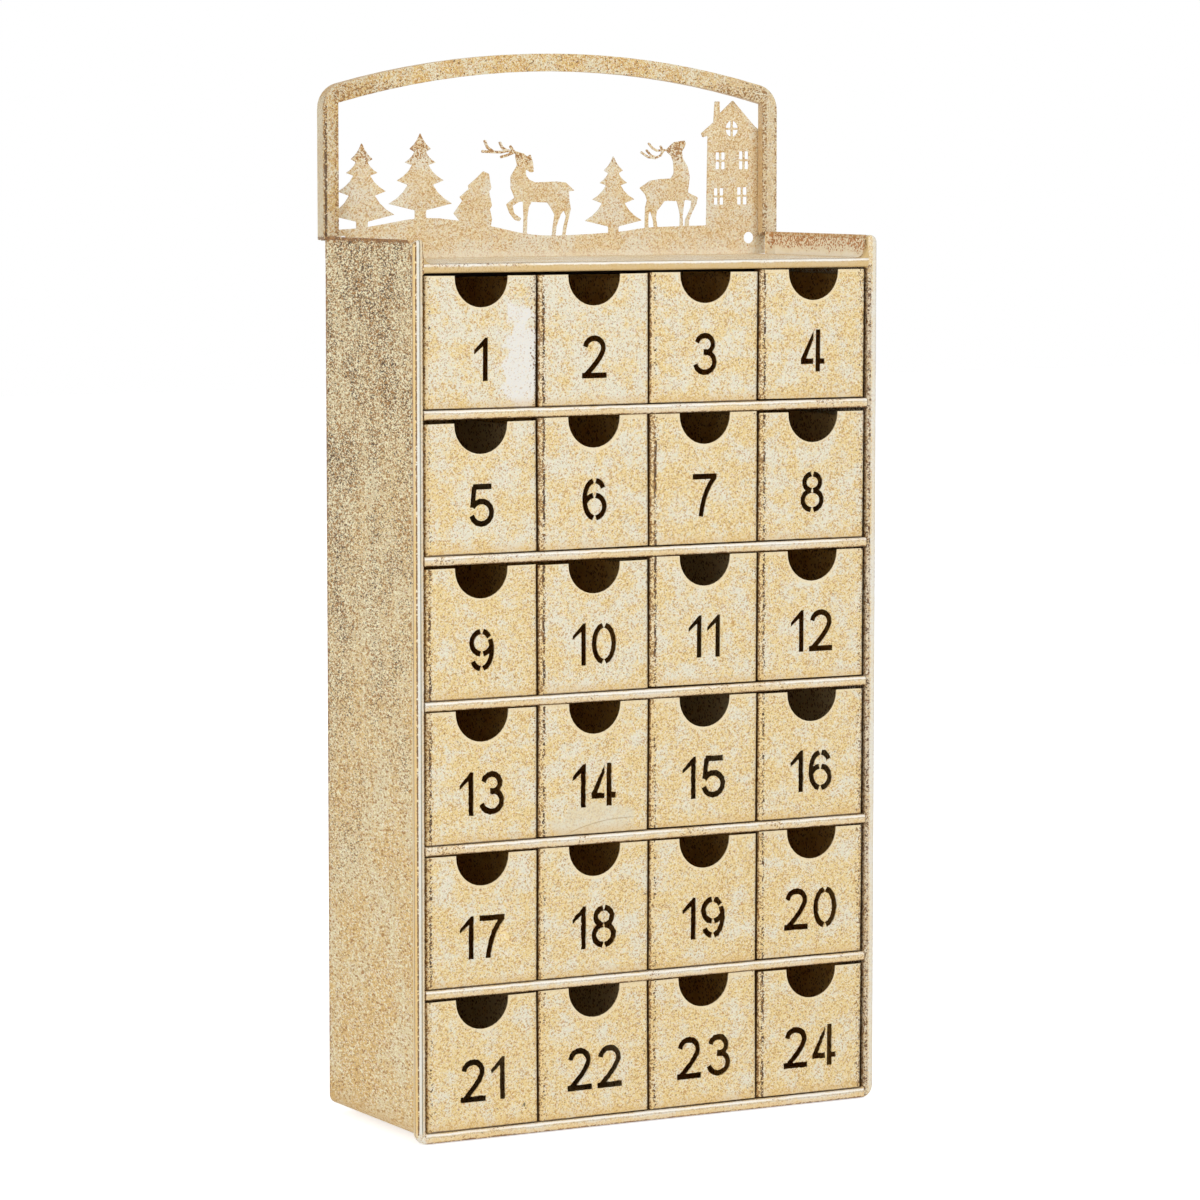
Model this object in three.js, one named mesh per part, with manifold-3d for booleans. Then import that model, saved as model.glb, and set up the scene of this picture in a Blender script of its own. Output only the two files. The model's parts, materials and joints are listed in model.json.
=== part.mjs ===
// Advent calendar: a sheet-metal cabinet with 24 numbered drawers and a winter-scene crown.
// Millimetres, +Z up, the front faces -Y, the origin is under the middle of the box.
import * as THREE from "three";
import { mergeVertices } from "three/addons/utils/BufferGeometryUtils.js";
import Module from "manifold-3d";

const wasm = await Module();
wasm.setup();

// Overall sizes of the cabinet
const cabinetWidth = 240;
const cabinetDepth = 91.5;
const trayWallHeight = 10.5;
const sheetThickness = 0.8;
const seamGap = 0.3;

// Drawer grid
const rowCount = 6;
const columnCount = 4;
const rowPitch = 65;
const firstFloorZ = 4.5;

// Rounded members of the front frame and the shelf edges
const memberWidth = 4.8;
const upperMemberWidth = 5;
const memberDepth = 4.4;
const beadHeight = 4.2;
const memberRounding = 1.3;
const frameBottomRadius = 5.6;
const frameTopRadius = 3.2;
const frameTopInnerRadius = 1.5;
const openingRadius = 1.5;
const trayCornerRadius = 5;

// Shell wrapped round the sides and the bottom
const shellInset = 0.4;
const bendRadius = 4;
const shellTopFrontRadius = 5;
const backFlangeWidth = 6.4;
const backFlangeStartZ = 9;
const topHemHeight = 1.6;
const rearFootInset = 32;
const plateFlangeHeight = 8;
const backPanelCornerRadius = 3.6;

// Tray floor above the top row
const trayLipHeight = 5.1;
const trayLipThickness = 0.6;

// Crown frame, a channel that is open to the rear
const crownDepth = 7.1;
const crownInnerDepth = 5.1;
const crownOverlap = 1.7;
const crownFaceWidth = 7.6;
const archRadius = 438;
const crownRise = 84;
const archBandWidth = 8.2;
const archCornerRadius = 12;

// Scene sheet inside the crown, drawn on a grid of squares from the middle to each side
const sceneGridCount = 120;
const sceneLowerInset = 3.4;
const windowMargin = 1.1;
const figureJoin = 0.7;
const hangingHoleDiameter = 5.6;
const hangingHoleInset = 12.3;
const hangingHoleRise = 7.7;

// Drawer sizes
const drawerGap = 1;
const drawerSideClearance = 0.9;
const drawerTopClearance = 1.5;
const drawerBackClearance = 2.1;
const drawerWallDrop = 3;
const drawerRecess = 1.2;
const drawerSheet = 0.6;
const drawerEdgeRadius = 2;
const drawerReturn = 6;
const notchRadius = 13.3;
const notchDepth = 14.1;

// Stencil numerals
const digitHeight = 19.2;
const digitWidth = 12.6;
const digitStroke = 2.4;
const digitSpacing = 3;
const digitCentreDrop = 37.2;
const stencilGap = 1.3;
const oneWidth = 6.8;

// Places worked out from the sizes above
const totalDepth = cabinetDepth + seamGap + crownDepth;
const frontY = -totalDepth / 2;
const frameBackY = frontY + memberDepth;
const shellFrontY = frameBackY + seamGap;
const caseBackY = frontY + cabinetDepth;
const crownFrontY = caseBackY + seamGap;
const crownBackY = crownFrontY + crownDepth;
const sceneFrontY = crownFrontY + crownInnerDepth + seamGap;
const sceneBackY = sceneFrontY + sheetThickness;
const halfWidth = cabinetWidth / 2;
const openingHalf = halfWidth - memberWidth;
const shellHalf = halfWidth - shellInset;
const shellInnerHalf = shellHalf - sheetThickness;
const plateHalf = shellInnerHalf - seamGap;
const backFlangeInner = shellHalf - backFlangeWidth;
const backFlangeY = caseBackY - sheetThickness;
const backPanelBackY = backFlangeY - seamGap;
const backPanelFrontY = backPanelBackY - sheetThickness;
const plateBackY = backPanelFrontY - seamGap;
const headerTopZ = firstFloorZ + rowCount * rowPitch;
const sideTopZ = headerTopZ + trayWallHeight;
const crownBottomZ = sideTopZ - crownOverlap;
const drawerPitch = (2 * (openingHalf - drawerSideClearance) + drawerGap) / columnCount;
const drawerFrontWidth = drawerPitch - drawerGap;
const drawerFrontHeight = rowPitch - beadHeight - seamGap - drawerTopClearance;
const drawerWallHeight = drawerFrontHeight - drawerWallDrop;
const drawerFrontY = frontY + drawerRecess;
const drawerBackY = plateBackY - drawerBackClearance;
const archCentreZ = sideTopZ + crownRise - archRadius;
const sceneInset = sheetThickness + seamGap;
const sceneLowerHalf = halfWidth - sceneLowerInset;
const sceneWindowHalf = halfWidth - crownFaceWidth + windowMargin;
const sceneUnit = halfWidth / sceneGridCount;
const cutMargin = 1;

const X_AXIS = new THREE.Vector3(1, 0, 0);
const Y_AXIS = new THREE.Vector3(0, 1, 0);
const Z_AXIS = new THREE.Vector3(0, 0, 1);

// Materials, one of its own for each kind of piece
function paintedTin(colour, roughness, metalness) {
  return () => new THREE.MeshStandardMaterial({ color: colour, roughness, metalness });
}
const shellPaint = paintedTin(0xb9a88a, 0.6, 0.3);
const framePaint = paintedTin(0xe3d2ab, 0.5, 0.3);
const backPaint = paintedTin(0x9c8a6a, 0.65, 0.3);
const trayFloorPaint = paintedTin(0xdcc8a0, 0.6, 0.3);
const shelfPaint = paintedTin(0xe0cfa9, 0.5, 0.3);
const crownPaint = paintedTin(0xd8c093, 0.55, 0.3);
const scenePaint = paintedTin(0xdcc39a, 0.6, 0.3);
const drawerFrontPaint = paintedTin(0xe2c893, 0.55, 0.3);
const drawerTrayPaint = paintedTin(0x4a3520, 0.7, 0.2);

// Solids from outlines
function toSolid(geometry) {
  geometry.deleteAttribute("normal");
  geometry.deleteAttribute("uv");
  const merged = mergeVertices(geometry, 1e-4);
  return new wasm.Manifold(
    new wasm.Mesh({
      numProp: 3,
      vertProperties: new Float32Array(merged.attributes.position.array),
      triVerts: new Uint32Array(merged.index.array),
    }),
  );
}

function extruded(points, length) {
  const shape = new THREE.Shape(points.map(([a, b]) => new THREE.Vector2(a, b)));
  return new THREE.ExtrudeGeometry(shape, { depth: length, bevelEnabled: false });
}

// Outline in x and z, thick from yLow to yHigh
function platePrism(points, yLow, yHigh) {
  const geometry = extruded(points, yHigh - yLow);
  geometry.rotateX(Math.PI / 2);
  geometry.translate(0, yHigh, 0);
  return toSolid(geometry);
}

// Outline in y and z, long from xLow to xHigh
function lengthPrism(points, xLow, xHigh) {
  const geometry = extruded(points, xHigh - xLow);
  geometry.applyMatrix4(new THREE.Matrix4().makeBasis(Y_AXIS, Z_AXIS, X_AXIS));
  geometry.translate(xLow, 0, 0);
  return toSolid(geometry);
}

// Outline in x and y, tall from zLow to zHigh
function heightPrism(points, zLow, zHigh) {
  const geometry = extruded(points, zHigh - zLow);
  geometry.translate(0, 0, zLow);
  return toSolid(geometry);
}

function block(xLow, xHigh, yLow, yHigh, zLow, zHigh) {
  const corners = [[xLow, yLow], [xHigh, yLow], [xHigh, yHigh], [xLow, yHigh]];
  return heightPrism(corners, zLow, zHigh);
}

// The same block on the left and on the right
function blockPair(xInner, xOuter, yLow, yHigh, zLow, zHigh) {
  const right = block(xInner, xOuter, yLow, yHigh, zLow, zHigh);
  return right.add(block(-xOuter, -xInner, yLow, yHigh, zLow, zHigh));
}

function toMesh(solid, name, material) {
  const result = solid.getMesh();
  const geometry = new THREE.BufferGeometry();
  geometry.setAttribute("position", new THREE.BufferAttribute(result.vertProperties, 3));
  geometry.setIndex(new THREE.BufferAttribute(result.triVerts, 1));
  geometry.computeVertexNormals();
  const mesh = new THREE.Mesh(geometry, material());
  mesh.name = name;
  return mesh;
}

// Points of an ellipse arc, angles in degrees from +x towards +z
function arcPoints(centreX, centreZ, radiusX, radiusZ, fromDeg, toDeg, steps) {
  const points = [];
  for (let i = 0; i <= steps; i += 1) {
    const angle = ((fromDeg + ((toDeg - fromDeg) * i) / steps) * Math.PI) / 180;
    points.push([centreX + radiusX * Math.cos(angle), centreZ + radiusZ * Math.sin(angle)]);
  }
  return points;
}

// A quadratic curve from start to end, drawn towards the control point
function curvePoints(start, control, end, steps) {
  const points = [];
  for (let i = 0; i <= steps; i += 1) {
    const t = i / steps;
    const s = 1 - t;
    points.push([0, 1].map((k) => s * s * start[k] + 2 * s * t * control[k] + t * t * end[k]));
  }
  return points;
}

// Corners given as [a, b, radius] become arcs of that radius
function roundedOutline(corners, steps) {
  const points = [];
  corners.forEach(([a, b, radius], index) => {
    const corner = new THREE.Vector2(a, b);
    if (!radius) {
      points.push([a, b]);
      return;
    }
    const before = corners[(index + corners.length - 1) % corners.length];
    const after = corners[(index + 1) % corners.length];
    const back = new THREE.Vector2(before[0], before[1]).sub(corner).normalize();
    const ahead = new THREE.Vector2(after[0], after[1]).sub(corner).normalize();
    const half = Math.acos(THREE.MathUtils.clamp(back.dot(ahead), -1, 1)) / 2;
    const reach = radius / Math.tan(half);
    const start = corner.clone().addScaledVector(back, reach);
    const end = corner.clone().addScaledVector(ahead, reach);
    const middle = back.clone().add(ahead).normalize();
    const centre = corner.clone().addScaledVector(middle, radius / Math.sin(half));
    const startAngle = start.clone().sub(centre).angle();
    let sweep = end.clone().sub(centre).angle() - startAngle;
    if (sweep > Math.PI) sweep -= 2 * Math.PI;
    if (sweep < -Math.PI) sweep += 2 * Math.PI;
    for (let i = 0; i <= steps; i += 1) {
      const angle = startAngle + (sweep * i) / steps;
      points.push([centre.x + radius * Math.cos(angle), centre.y + radius * Math.sin(angle)]);
    }
  });
  return points;
}

// Closed outline of the given width round an open path, with square ends
function strokeOutline(path, width) {
  const left = [];
  const right = [];
  path.forEach((point, i) => {
    const here = new THREE.Vector2(point[0], point[1]);
    const last = i > 0 ? path[i - 1] : point;
    const next = i < path.length - 1 ? path[i + 1] : point;
    const into = new THREE.Vector2(point[0] - last[0], point[1] - last[1]).normalize();
    const out = new THREE.Vector2(next[0] - point[0], next[1] - point[1]).normalize();
    const along = into.clone().add(out).normalize();
    const mitre = i > 0 && i < path.length - 1 ? along.dot(out) : 1;
    const side = new THREE.Vector2(-along.y, along.x).multiplyScalar(width / 2 / mitre);
    left.push([here.x + side.x, here.y + side.y]);
    right.unshift([here.x - side.x, here.y - side.y]);
  });
  return right.concat(left);
}

// Front frame: side members, bottom member and header in one rounded piece
function frontFrame() {
  const upperHalf = halfWidth - upperMemberWidth;
  const outline = roundedOutline(
    [
      [-halfWidth, 0, frameBottomRadius],
      [halfWidth, 0, frameBottomRadius],
      [halfWidth, sideTopZ, frameTopRadius],
      [upperHalf, sideTopZ, frameTopInnerRadius],
      [upperHalf, headerTopZ, trayCornerRadius],
      [-upperHalf, headerTopZ, trayCornerRadius],
      [-upperHalf, sideTopZ, frameTopInnerRadius],
      [-halfWidth, sideTopZ, frameTopRadius],
    ],
    5,
  );
  const openingTopZ = headerTopZ - beadHeight;
  const opening = roundedOutline(
    [
      [-openingHalf, firstFloorZ, openingRadius],
      [-openingHalf, openingTopZ, openingRadius],
      [openingHalf, openingTopZ, openingRadius],
      [openingHalf, firstFloorZ, openingRadius],
    ],
    3,
  );
  const shape = new THREE.Shape(outline.map(([a, b]) => new THREE.Vector2(a, b)));
  shape.holes.push(new THREE.Path(opening.map(([a, b]) => new THREE.Vector2(a, b))));
  const geometry = new THREE.ExtrudeGeometry(shape, {
    depth: memberDepth - 2 * memberRounding,
    bevelEnabled: true,
    bevelThickness: memberRounding,
    bevelSize: memberRounding,
    bevelOffset: -memberRounding,
    bevelSegments: 3,
  });
  geometry.rotateX(Math.PI / 2);
  geometry.translate(0, frameBackY - memberRounding, 0);
  return toSolid(geometry);
}

// Shell: one sheet bent round the left side, the bottom and the right side
function cabinetShell() {
  const shellBottomZ = firstFloorZ - sheetThickness;
  const innerRadius = bendRadius - sheetThickness;
  const wrap = roundedOutline(
    [
      [-shellHalf, sideTopZ, 0],
      [-shellHalf, shellBottomZ, bendRadius],
      [shellHalf, shellBottomZ, bendRadius],
      [shellHalf, sideTopZ, 0],
      [shellInnerHalf, sideTopZ, 0],
      [shellInnerHalf, firstFloorZ, innerRadius],
      [-shellInnerHalf, firstFloorZ, innerRadius],
      [-shellInnerHalf, sideTopZ, 0],
    ],
    4,
  );
  const insideHalf = shellInnerHalf + sheetThickness / 2;
  const hemZ = sideTopZ - topHemHeight;
  const hemInnerX = shellInnerHalf - sheetThickness;
  const hemFrontY = shellFrontY + shellTopFrontRadius;
  const cornerZ = sideTopZ - shellTopFrontRadius;
  const rearFootHalf = halfWidth - rearFootInset;
  const cornerCut = [
    [shellFrontY - cutMargin, cornerZ],
    ...arcPoints(hemFrontY, cornerZ, shellTopFrontRadius, shellTopFrontRadius, 180, 90, 5),
    [hemFrontY, sideTopZ + cutMargin],
    [shellFrontY - cutMargin, sideTopZ + cutMargin],
  ];
  return platePrism(wrap, shellFrontY, caseBackY)
    .add(blockPair(backFlangeInner, insideHalf, backFlangeY, caseBackY, backFlangeStartZ, sideTopZ))
    .add(blockPair(hemInnerX, insideHalf, hemFrontY, caseBackY, hemZ, sideTopZ))
    .add(block(-rearFootHalf, rearFootHalf, backFlangeY, caseBackY, 0, firstFloorZ))
    .subtract(lengthPrism(cornerCut, -halfWidth, halfWidth));
}

// Back panel: a flat sheet inside the shell's back flanges
function backPanel() {
  const lowZ = firstFloorZ + seamGap;
  const highZ = headerTopZ - sheetThickness - seamGap;
  const outline = roundedOutline(
    [
      [-plateHalf, lowZ, backPanelCornerRadius],
      [plateHalf, lowZ, backPanelCornerRadius],
      [plateHalf, highZ, 0],
      [-plateHalf, highZ, 0],
    ],
    3,
  );
  return platePrism(outline, backPanelFrontY, backPanelBackY);
}

// End flanges, turned down against the side panels
function plateFlanges(topZ) {
  const innerX = plateHalf - sheetThickness;
  return blockPair(innerX, plateHalf, shellFrontY, plateBackY, topZ - plateFlangeHeight, topZ);
}

// Shelf: a sheet with a wired front edge that fills the gap between the side members
function shelf(row) {
  const topZ = firstFloorZ + row * rowPitch;
  const edge = roundedOutline(
    [
      [frontY, topZ - beadHeight, memberRounding],
      [frameBackY, topZ - beadHeight, memberRounding],
      [frameBackY, topZ - sheetThickness, 0],
      [shellFrontY + sheetThickness, topZ - sheetThickness, 0],
      [shellFrontY + sheetThickness, topZ, 0],
      [frontY, topZ, memberRounding],
    ],
    3,
  );
  const edgeHalf = openingHalf - seamGap;
  return lengthPrism(edge, -edgeHalf, edgeHalf)
    .add(block(-plateHalf, plateHalf, shellFrontY, plateBackY, topZ - sheetThickness, topZ))
    .add(plateFlanges(topZ));
}

// Tray floor: carries the scene sheet and turns up behind it
function trayFloor() {
  const lowZ = headerTopZ - sheetThickness;
  const rearHalf = backFlangeInner - seamGap;
  const lipFrontY = crownBackY - trayLipThickness;
  const lipTopZ = lowZ + trayLipHeight;
  return block(-plateHalf, plateHalf, shellFrontY, backPanelBackY, lowZ, headerTopZ)
    .add(plateFlanges(headerTopZ))
    .add(block(-rearHalf, rearHalf, plateBackY, crownBackY, lowZ, headerTopZ))
    .add(block(-rearHalf, rearHalf, lipFrontY, crownBackY, lowZ, lipTopZ));
}

// Arched block that fills the crown's outer outline, moved in by inset
function archBlock(inset, bottomZ, yLow, yHigh) {
  const side = halfWidth - inset;
  const radius = archRadius - inset;
  const corner = archCornerRadius - inset;
  const cornerX = side - corner;
  const cornerRise = Math.sqrt((radius - corner) ** 2 - cornerX ** 2);
  const cornerZ = archCentreZ + cornerRise;
  const archDeg = (Math.atan2(cornerRise, cornerX) * 180) / Math.PI;
  const outline = [
    [-side, bottomZ],
    [side, bottomZ],
    ...arcPoints(cornerX, cornerZ, corner, corner, 0, archDeg, 6),
    ...arcPoints(0, archCentreZ, radius, radius, archDeg, 180 - archDeg, 18).slice(1, -1),
    ...arcPoints(-cornerX, cornerZ, corner, corner, 180 - archDeg, 180, 6),
  ];
  return platePrism(outline, yLow, yHigh);
}

// Block that fills the crown's window, moved out by outset
function windowBlock(outset, bottomZ, yLow, yHigh) {
  const side = halfWidth - crownFaceWidth + outset;
  const radius = archRadius - archBandWidth + outset;
  const archDeg = (Math.acos(side / radius) * 180) / Math.PI;
  const outline = [
    [-side, bottomZ],
    [side, bottomZ],
    ...arcPoints(0, archCentreZ, radius, radius, archDeg, 180 - archDeg, 18),
  ];
  return platePrism(outline, yLow, yHigh);
}

// Crown frame: face, outer wall and inner wall of an arched channel
function crownFrame() {
  const cutBottomZ = crownBottomZ - cutMargin;
  const faceBackY = crownFrontY + sheetThickness;
  const innerBackY = crownFrontY + crownInnerDepth;
  const behindY = crownBackY + cutMargin;
  const hollow = archBlock(sheetThickness, cutBottomZ, faceBackY, behindY);
  return archBlock(0, crownBottomZ, crownFrontY, crownBackY)
    .subtract(hollow)
    .add(windowBlock(sheetThickness, crownBottomZ, crownFrontY, innerBackY))
    .subtract(windowBlock(0, cutBottomZ, crownFrontY - cutMargin, behindY));
}

// Figures of the winter scene, in grid squares across and above the tray floor
function scenePoint([across, above]) {
  return [across * sceneUnit, headerTopZ + above * sceneUnit];
}

function scenePiece(outline) {
  return platePrism(outline.map(scenePoint), sceneFrontY, sceneBackY);
}

function sceneCut(outline) {
  return platePrism(outline.map(scenePoint), sceneFrontY - cutMargin, sceneBackY + cutMargin);
}

// Snowy ground line, from left to right, over the sheet's straight lower edge
const groundEnds = { left: 13.1, right: 14.1 };
const groundCrests = [
  [-96, 14.4], [-68, 18.4], [-47, 16.9], [-30, 14.1], [-13, 10.7], [4, 9.7], [36, 11], [57, 13.2],
];

function sceneGround() {
  const end = sceneLowerHalf / sceneUnit;
  const crests = [[-end, groundEnds.left], ...groundCrests, [end, groundEnds.right]];
  const line = new THREE.SplineCurve(crests.map(([a, b]) => new THREE.Vector2(a, b)));
  const top = line.getPoints(26).map((point) => [point.x, point.y]);
  const bottom = seamGap / sceneUnit;
  return scenePiece([[end, bottom], ...top.reverse(), [-end, bottom]]);
}

// Fir tree: four flared tiers, given as parts of its height
const firTiers = [
  { tipDrop: 0.205, tipHalf: 0.153, waistDrop: 0.245, waistHalf: 0.08 },
  { tipDrop: 0.38, tipHalf: 0.223, waistDrop: 0.415, waistHalf: 0.115 },
  { tipDrop: 0.615, tipHalf: 0.34, waistDrop: 0.67, waistHalf: 0.18 },
  { tipDrop: 0.915, tipHalf: 0.46, waistDrop: 1, waistHalf: 0.08 },
];
const firTrees = [
  { x: -98, top: 53, height: 36, trunkEnd: 10.5 },
  { x: -68, top: 57.6, height: 35.6, trunkEnd: 14.5 },
  { x: 33.8, top: 46.8, height: 33.2, trunkEnd: 7.5 },
];

function firTree({ x, top, height, trunkEnd }) {
  const half = [[0, top]];
  firTiers.forEach(({ tipDrop, tipHalf, waistDrop, waistHalf }) => {
    const start = half[half.length - 1];
    const tip = [tipHalf * height, top - tipDrop * height];
    const control = [start[0] + (tip[0] - start[0]) * 0.3, start[1] + (tip[1] - start[1]) * 0.62];
    half.push(...curvePoints(start, control, tip, 3).slice(1));
    half.push([waistHalf * height, top - waistDrop * height]);
  });
  half.push([half[half.length - 1][0], trunkEnd]);
  const right = half.map(([a, b]) => [x + a, b]);
  const left = half.slice(1).reverse().map(([a, b]) => [x - a, b]);
  return scenePiece(right.concat(left).reverse());
}

// Small fir that leans to the right
const leaningFir = [
  [-35.2, 39.9], [-32.4, 38.7], [-31.1, 32], [-32.3, 30.4], [-30.8, 23.9], [-31.9, 22.3],
  [-30.8, 17.5], [-32, 11.5], [-47, 13.5], [-47.9, 17.3], [-50.8, 20.4], [-46.2, 26.2],
  [-47.6, 28], [-42.8, 31.7], [-43.2, 33.3], [-38.8, 36.7],
];

// Standing deer that looks back over its shoulder
const backLookingDeer = [
  [-18.2, 48.9], [-14.1, 48.2], [-12.3, 46.7], [-10.4, 47.6], [-9.1, 43.5], [-8.8, 39.5],
  [-10.4, 39.2], [-12.8, 40.8], [-12.9, 38.1], [-11.2, 35.9], [-8, 34.6], [3.5, 35],
  [8.2, 34.5], [12.9, 30.7], [9.9, 30.3], [10.1, 26.8], [10.9, 22.1], [8.9, 14.5],
  [7.8, 8.7], [6.3, 8.7], [7.3, 14.5], [8.5, 18.7], [7.3, 21.4], [5.6, 19.7],
  [3.4, 14.4], [2.5, 8.7], [0.8, 8.7], [1.6, 14.8], [2.4, 19.4], [0.6, 22.4],
  [-1.4, 25.1], [-10, 25.5], [-11.4, 23.1], [-12.2, 18.4], [-12.5, 9.3], [-14.3, 9.3],
  [-14, 18.4], [-14.3, 25.6], [-16.2, 25.7], [-20, 23.7], [-19.1, 20.2], [-15.3, 17.8],
  [-16.4, 16.5], [-18.8, 17.2], [-21.4, 20.3], [-23.2, 24.5], [-18.8, 27.5], [-20.8, 32],
  [-20.9, 37.4], [-17.4, 42.6], [-18.3, 46.1],
];
const backLookingAntlers = [
  [[-16.6, 48.1], [-22, 49.4], [-26, 48.7], [-30.6, 48.8], [-36.1, 49.1]],
  [[-29.6, 48.8], [-33, 50.8], [-34.6, 54.3]],
  [[-22, 49.1], [-25.3, 50.7], [-26.7, 53.5]],
  [[-18.8, 48.3], [-21.2, 51.7]],
  [[-19, 48.7], [-23.2, 47.1], [-26.3, 46.4]],
];

// Prancing deer with its head raised
const prancingDeer = [
  [62.9, 50.1], [64.3, 51.5], [66.8, 53.3], [72.3, 54.1], [73.1, 52.9], [72.4, 51.1],
  [70.9, 48.7], [71.4, 45.7], [74, 41.7], [75.2, 37], [74.2, 29.4], [79.6, 27.1],
  [78.9, 23.9], [76.6, 20.1], [74.8, 16.1], [74.7, 11.9], [72.6, 11.9], [72.9, 16.5],
  [75.9, 22.4], [76.3, 25.5], [72.4, 25.9], [71.8, 22], [71.3, 18.1], [71.7, 11.9],
  [69.8, 11.9], [70, 19.1], [68.3, 25.4], [61.5, 25.5], [59.2, 22.8], [57.3, 20.7],
  [56.8, 17.6], [57.9, 11.1], [56.1, 11.1], [55.2, 16.9], [53.8, 20.8], [52.8, 19.4],
  [52.6, 15.9], [52.8, 11.1], [50.8, 11.1], [50.9, 17.6], [51.1, 22.6], [52.1, 25.9],
  [51.1, 28.6], [48, 31.7], [53.6, 35.1], [59.2, 35.9], [65, 36.1], [66.6, 38.5],
  [66.3, 44], [65, 47], [62.9, 48.5],
];
const prancingAntlers = [
  [[63.6, 49.4], [60.7, 49.6], [57.4, 49.2], [54.9, 50.5], [52.7, 52.9]],
  [[60.9, 49.5], [59.4, 47], [56.4, 45.7], [52.6, 46.2], [48.6, 48.7]],
  [[57.4, 46.1], [54.2, 46.9], [51.5, 49.7]],
  [[60.4, 49.4], [59.2, 51.6]],
];
const antlerWidths = { backLooking: 1.25, prancing: 1 };

// House with a chimney, joined to the right upright
const house = [
  [84.3, 10.5], [85.1, 56.4], [82.3, 55.5], [81.5, 57.5], [88.3, 62.7], [88.9, 72.6], [91.5, 72.6],
  [91.6, 66.9], [98.8, 73.1], [111.1, 60.6],
];
const houseWall = { eaves: 58.7, foot: 10.5 };
const paneBar = 1;
const houseWindows = [
  [89.4, 40.4, 94.6, 48.4], [102.3, 40.4, 107.5, 48.9],
  [88.5, 23.5, 93.8, 31.4], [101.3, 23.5, 106.7, 31.8],
];
const roundWindow = { x: 98.3, z: 59.6, radiusX: 3.5, radiusZ: 3.8 };

// Cuts one window as four panes round a cross
function windowCut(outline, middle) {
  const yLow = sceneFrontY - 2 * cutMargin;
  const yHigh = sceneBackY + 2 * cutMargin;
  const [x, z] = scenePoint(middle);
  const reach = (paneBar + 2 * roundWindow.radiusZ) * sceneUnit;
  const bar = (paneBar / 2) * sceneUnit;
  return sceneCut(outline)
    .subtract(block(x - bar, x + bar, yLow, yHigh, z - reach, z + reach))
    .subtract(block(x - reach, x + reach, yLow, yHigh, z - bar, z + bar));
}

function houseSolid() {
  const { x, z, radiusX, radiusZ } = roundWindow;
  const circle = arcPoints(x, z, radiusX, radiusZ, 0, 345, 23);
  const wallEnd = (sceneWindowHalf + figureJoin) / sceneUnit;
  const outline = [...house, [wallEnd, houseWall.eaves], [wallEnd, houseWall.foot]].reverse();
  let solid = scenePiece(outline).subtract(windowCut(circle, [x, z]));
  houseWindows.forEach(([left, low, right, high]) => {
    const corners = [[left, low], [right, low], [right, high], [left, high]];
    solid = solid.subtract(windowCut(corners, [(left + right) / 2, (low + high) / 2]));
  });
  return solid;
}

// Scene sheet: border behind the channel, ground, trees, deer and house
function sceneSheet() {
  const lowZ = crownBottomZ - seamGap;
  const behindY = sceneBackY + cutMargin;
  let sheet = archBlock(sceneInset, lowZ, sceneFrontY, sceneBackY)
    .subtract(windowBlock(windowMargin, lowZ - cutMargin, sceneFrontY - cutMargin, behindY))
    .add(sceneGround());
  firTrees.forEach((tree) => {
    sheet = sheet.add(firTree(tree));
  });
  [leaningFir, backLookingDeer, prancingDeer].forEach((outline) => {
    sheet = sheet.add(scenePiece([...outline].reverse()));
  });
  backLookingAntlers.forEach((path) => {
    sheet = sheet.add(scenePiece(strokeOutline(path, antlerWidths.backLooking)));
  });
  prancingAntlers.forEach((path) => {
    sheet = sheet.add(scenePiece(strokeOutline(path, antlerWidths.prancing)));
  });
  sheet = sheet.add(houseSolid());
  const holeRadius = hangingHoleDiameter / 2;
  const holeZ = headerTopZ + hangingHoleRise;
  [hangingHoleInset - halfWidth, halfWidth - hangingHoleInset].forEach((x) => {
    const circle = arcPoints(x, holeZ, holeRadius, holeRadius, 0, 340, 17);
    sheet = sheet.subtract(platePrism(circle, sceneFrontY - cutMargin, behindY));
  });
  return sheet;
}

// Stencil numerals, each a list of cut outlines round the digit's own centre
const halfDigitWidth = digitWidth / 2;
const halfDigitHeight = digitHeight / 2;
const strokeHalf = digitStroke / 2;
const strokeX = halfDigitWidth - strokeHalf;
const strokeZ = halfDigitHeight - strokeHalf;

// Shapes of the strokes, as parts of the digit's height and of its width
const tall = {
  oneFlagTop: 0.287, oneFlagFoot: 0.383, oneFlagRoot: 0.197, twoHook: 0.229, twoBend: -0.096,
  threeTop: 0.207, threeBowl: 0.245, fourBar: -0.255, fourSlope: 0.277, fourPeak: 0.468,
  fiveBowl: 0.266, fiveNeck: -0.043, sixHook: 0.234, sevenKnee: 0.085, eightTop: 0.205,
  eightBowl: 0.239,
};
const wide = {
  oneFlagTip: 0.107, twoHook: 0.033, twoBend: 0.132, twoFoot: 0.041, threeTop: 0.066,
  fourStem: 0.223, fourSlope: -0.273, fiveLeft: 0.074, fiveSlant: 0.05, sixHook: 0.041,
  sevenKnee: -0.05, sevenFoot: -0.157, eightTop: 0.066,
};

function ups(part) {
  return tall[part] * digitHeight;
}

function sideways(part) {
  return wide[part] * digitWidth;
}

function cutStroke(path) {
  return strokeOutline(path, digitStroke);
}

function cutRectangle(xLow, xHigh, zLow, zHigh) {
  return [[xLow, zLow], [xHigh, zLow], [xHigh, zHigh], [xLow, zHigh]];
}

// Angle left out of an arc so that the stencil bridge has its width
function bridgeDeg(radiusX) {
  return (Math.asin(stencilGap / 2 / radiusX) * 180) / Math.PI;
}

function digitZero() {
  const skip = bridgeDeg(strokeX);
  return [
    cutStroke(arcPoints(0, 0, strokeX, strokeZ, 90 + skip, 270 - skip, 8)),
    cutStroke(arcPoints(0, 0, strokeX, strokeZ, skip - 90, 90 - skip, 8)),
  ];
}

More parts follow.
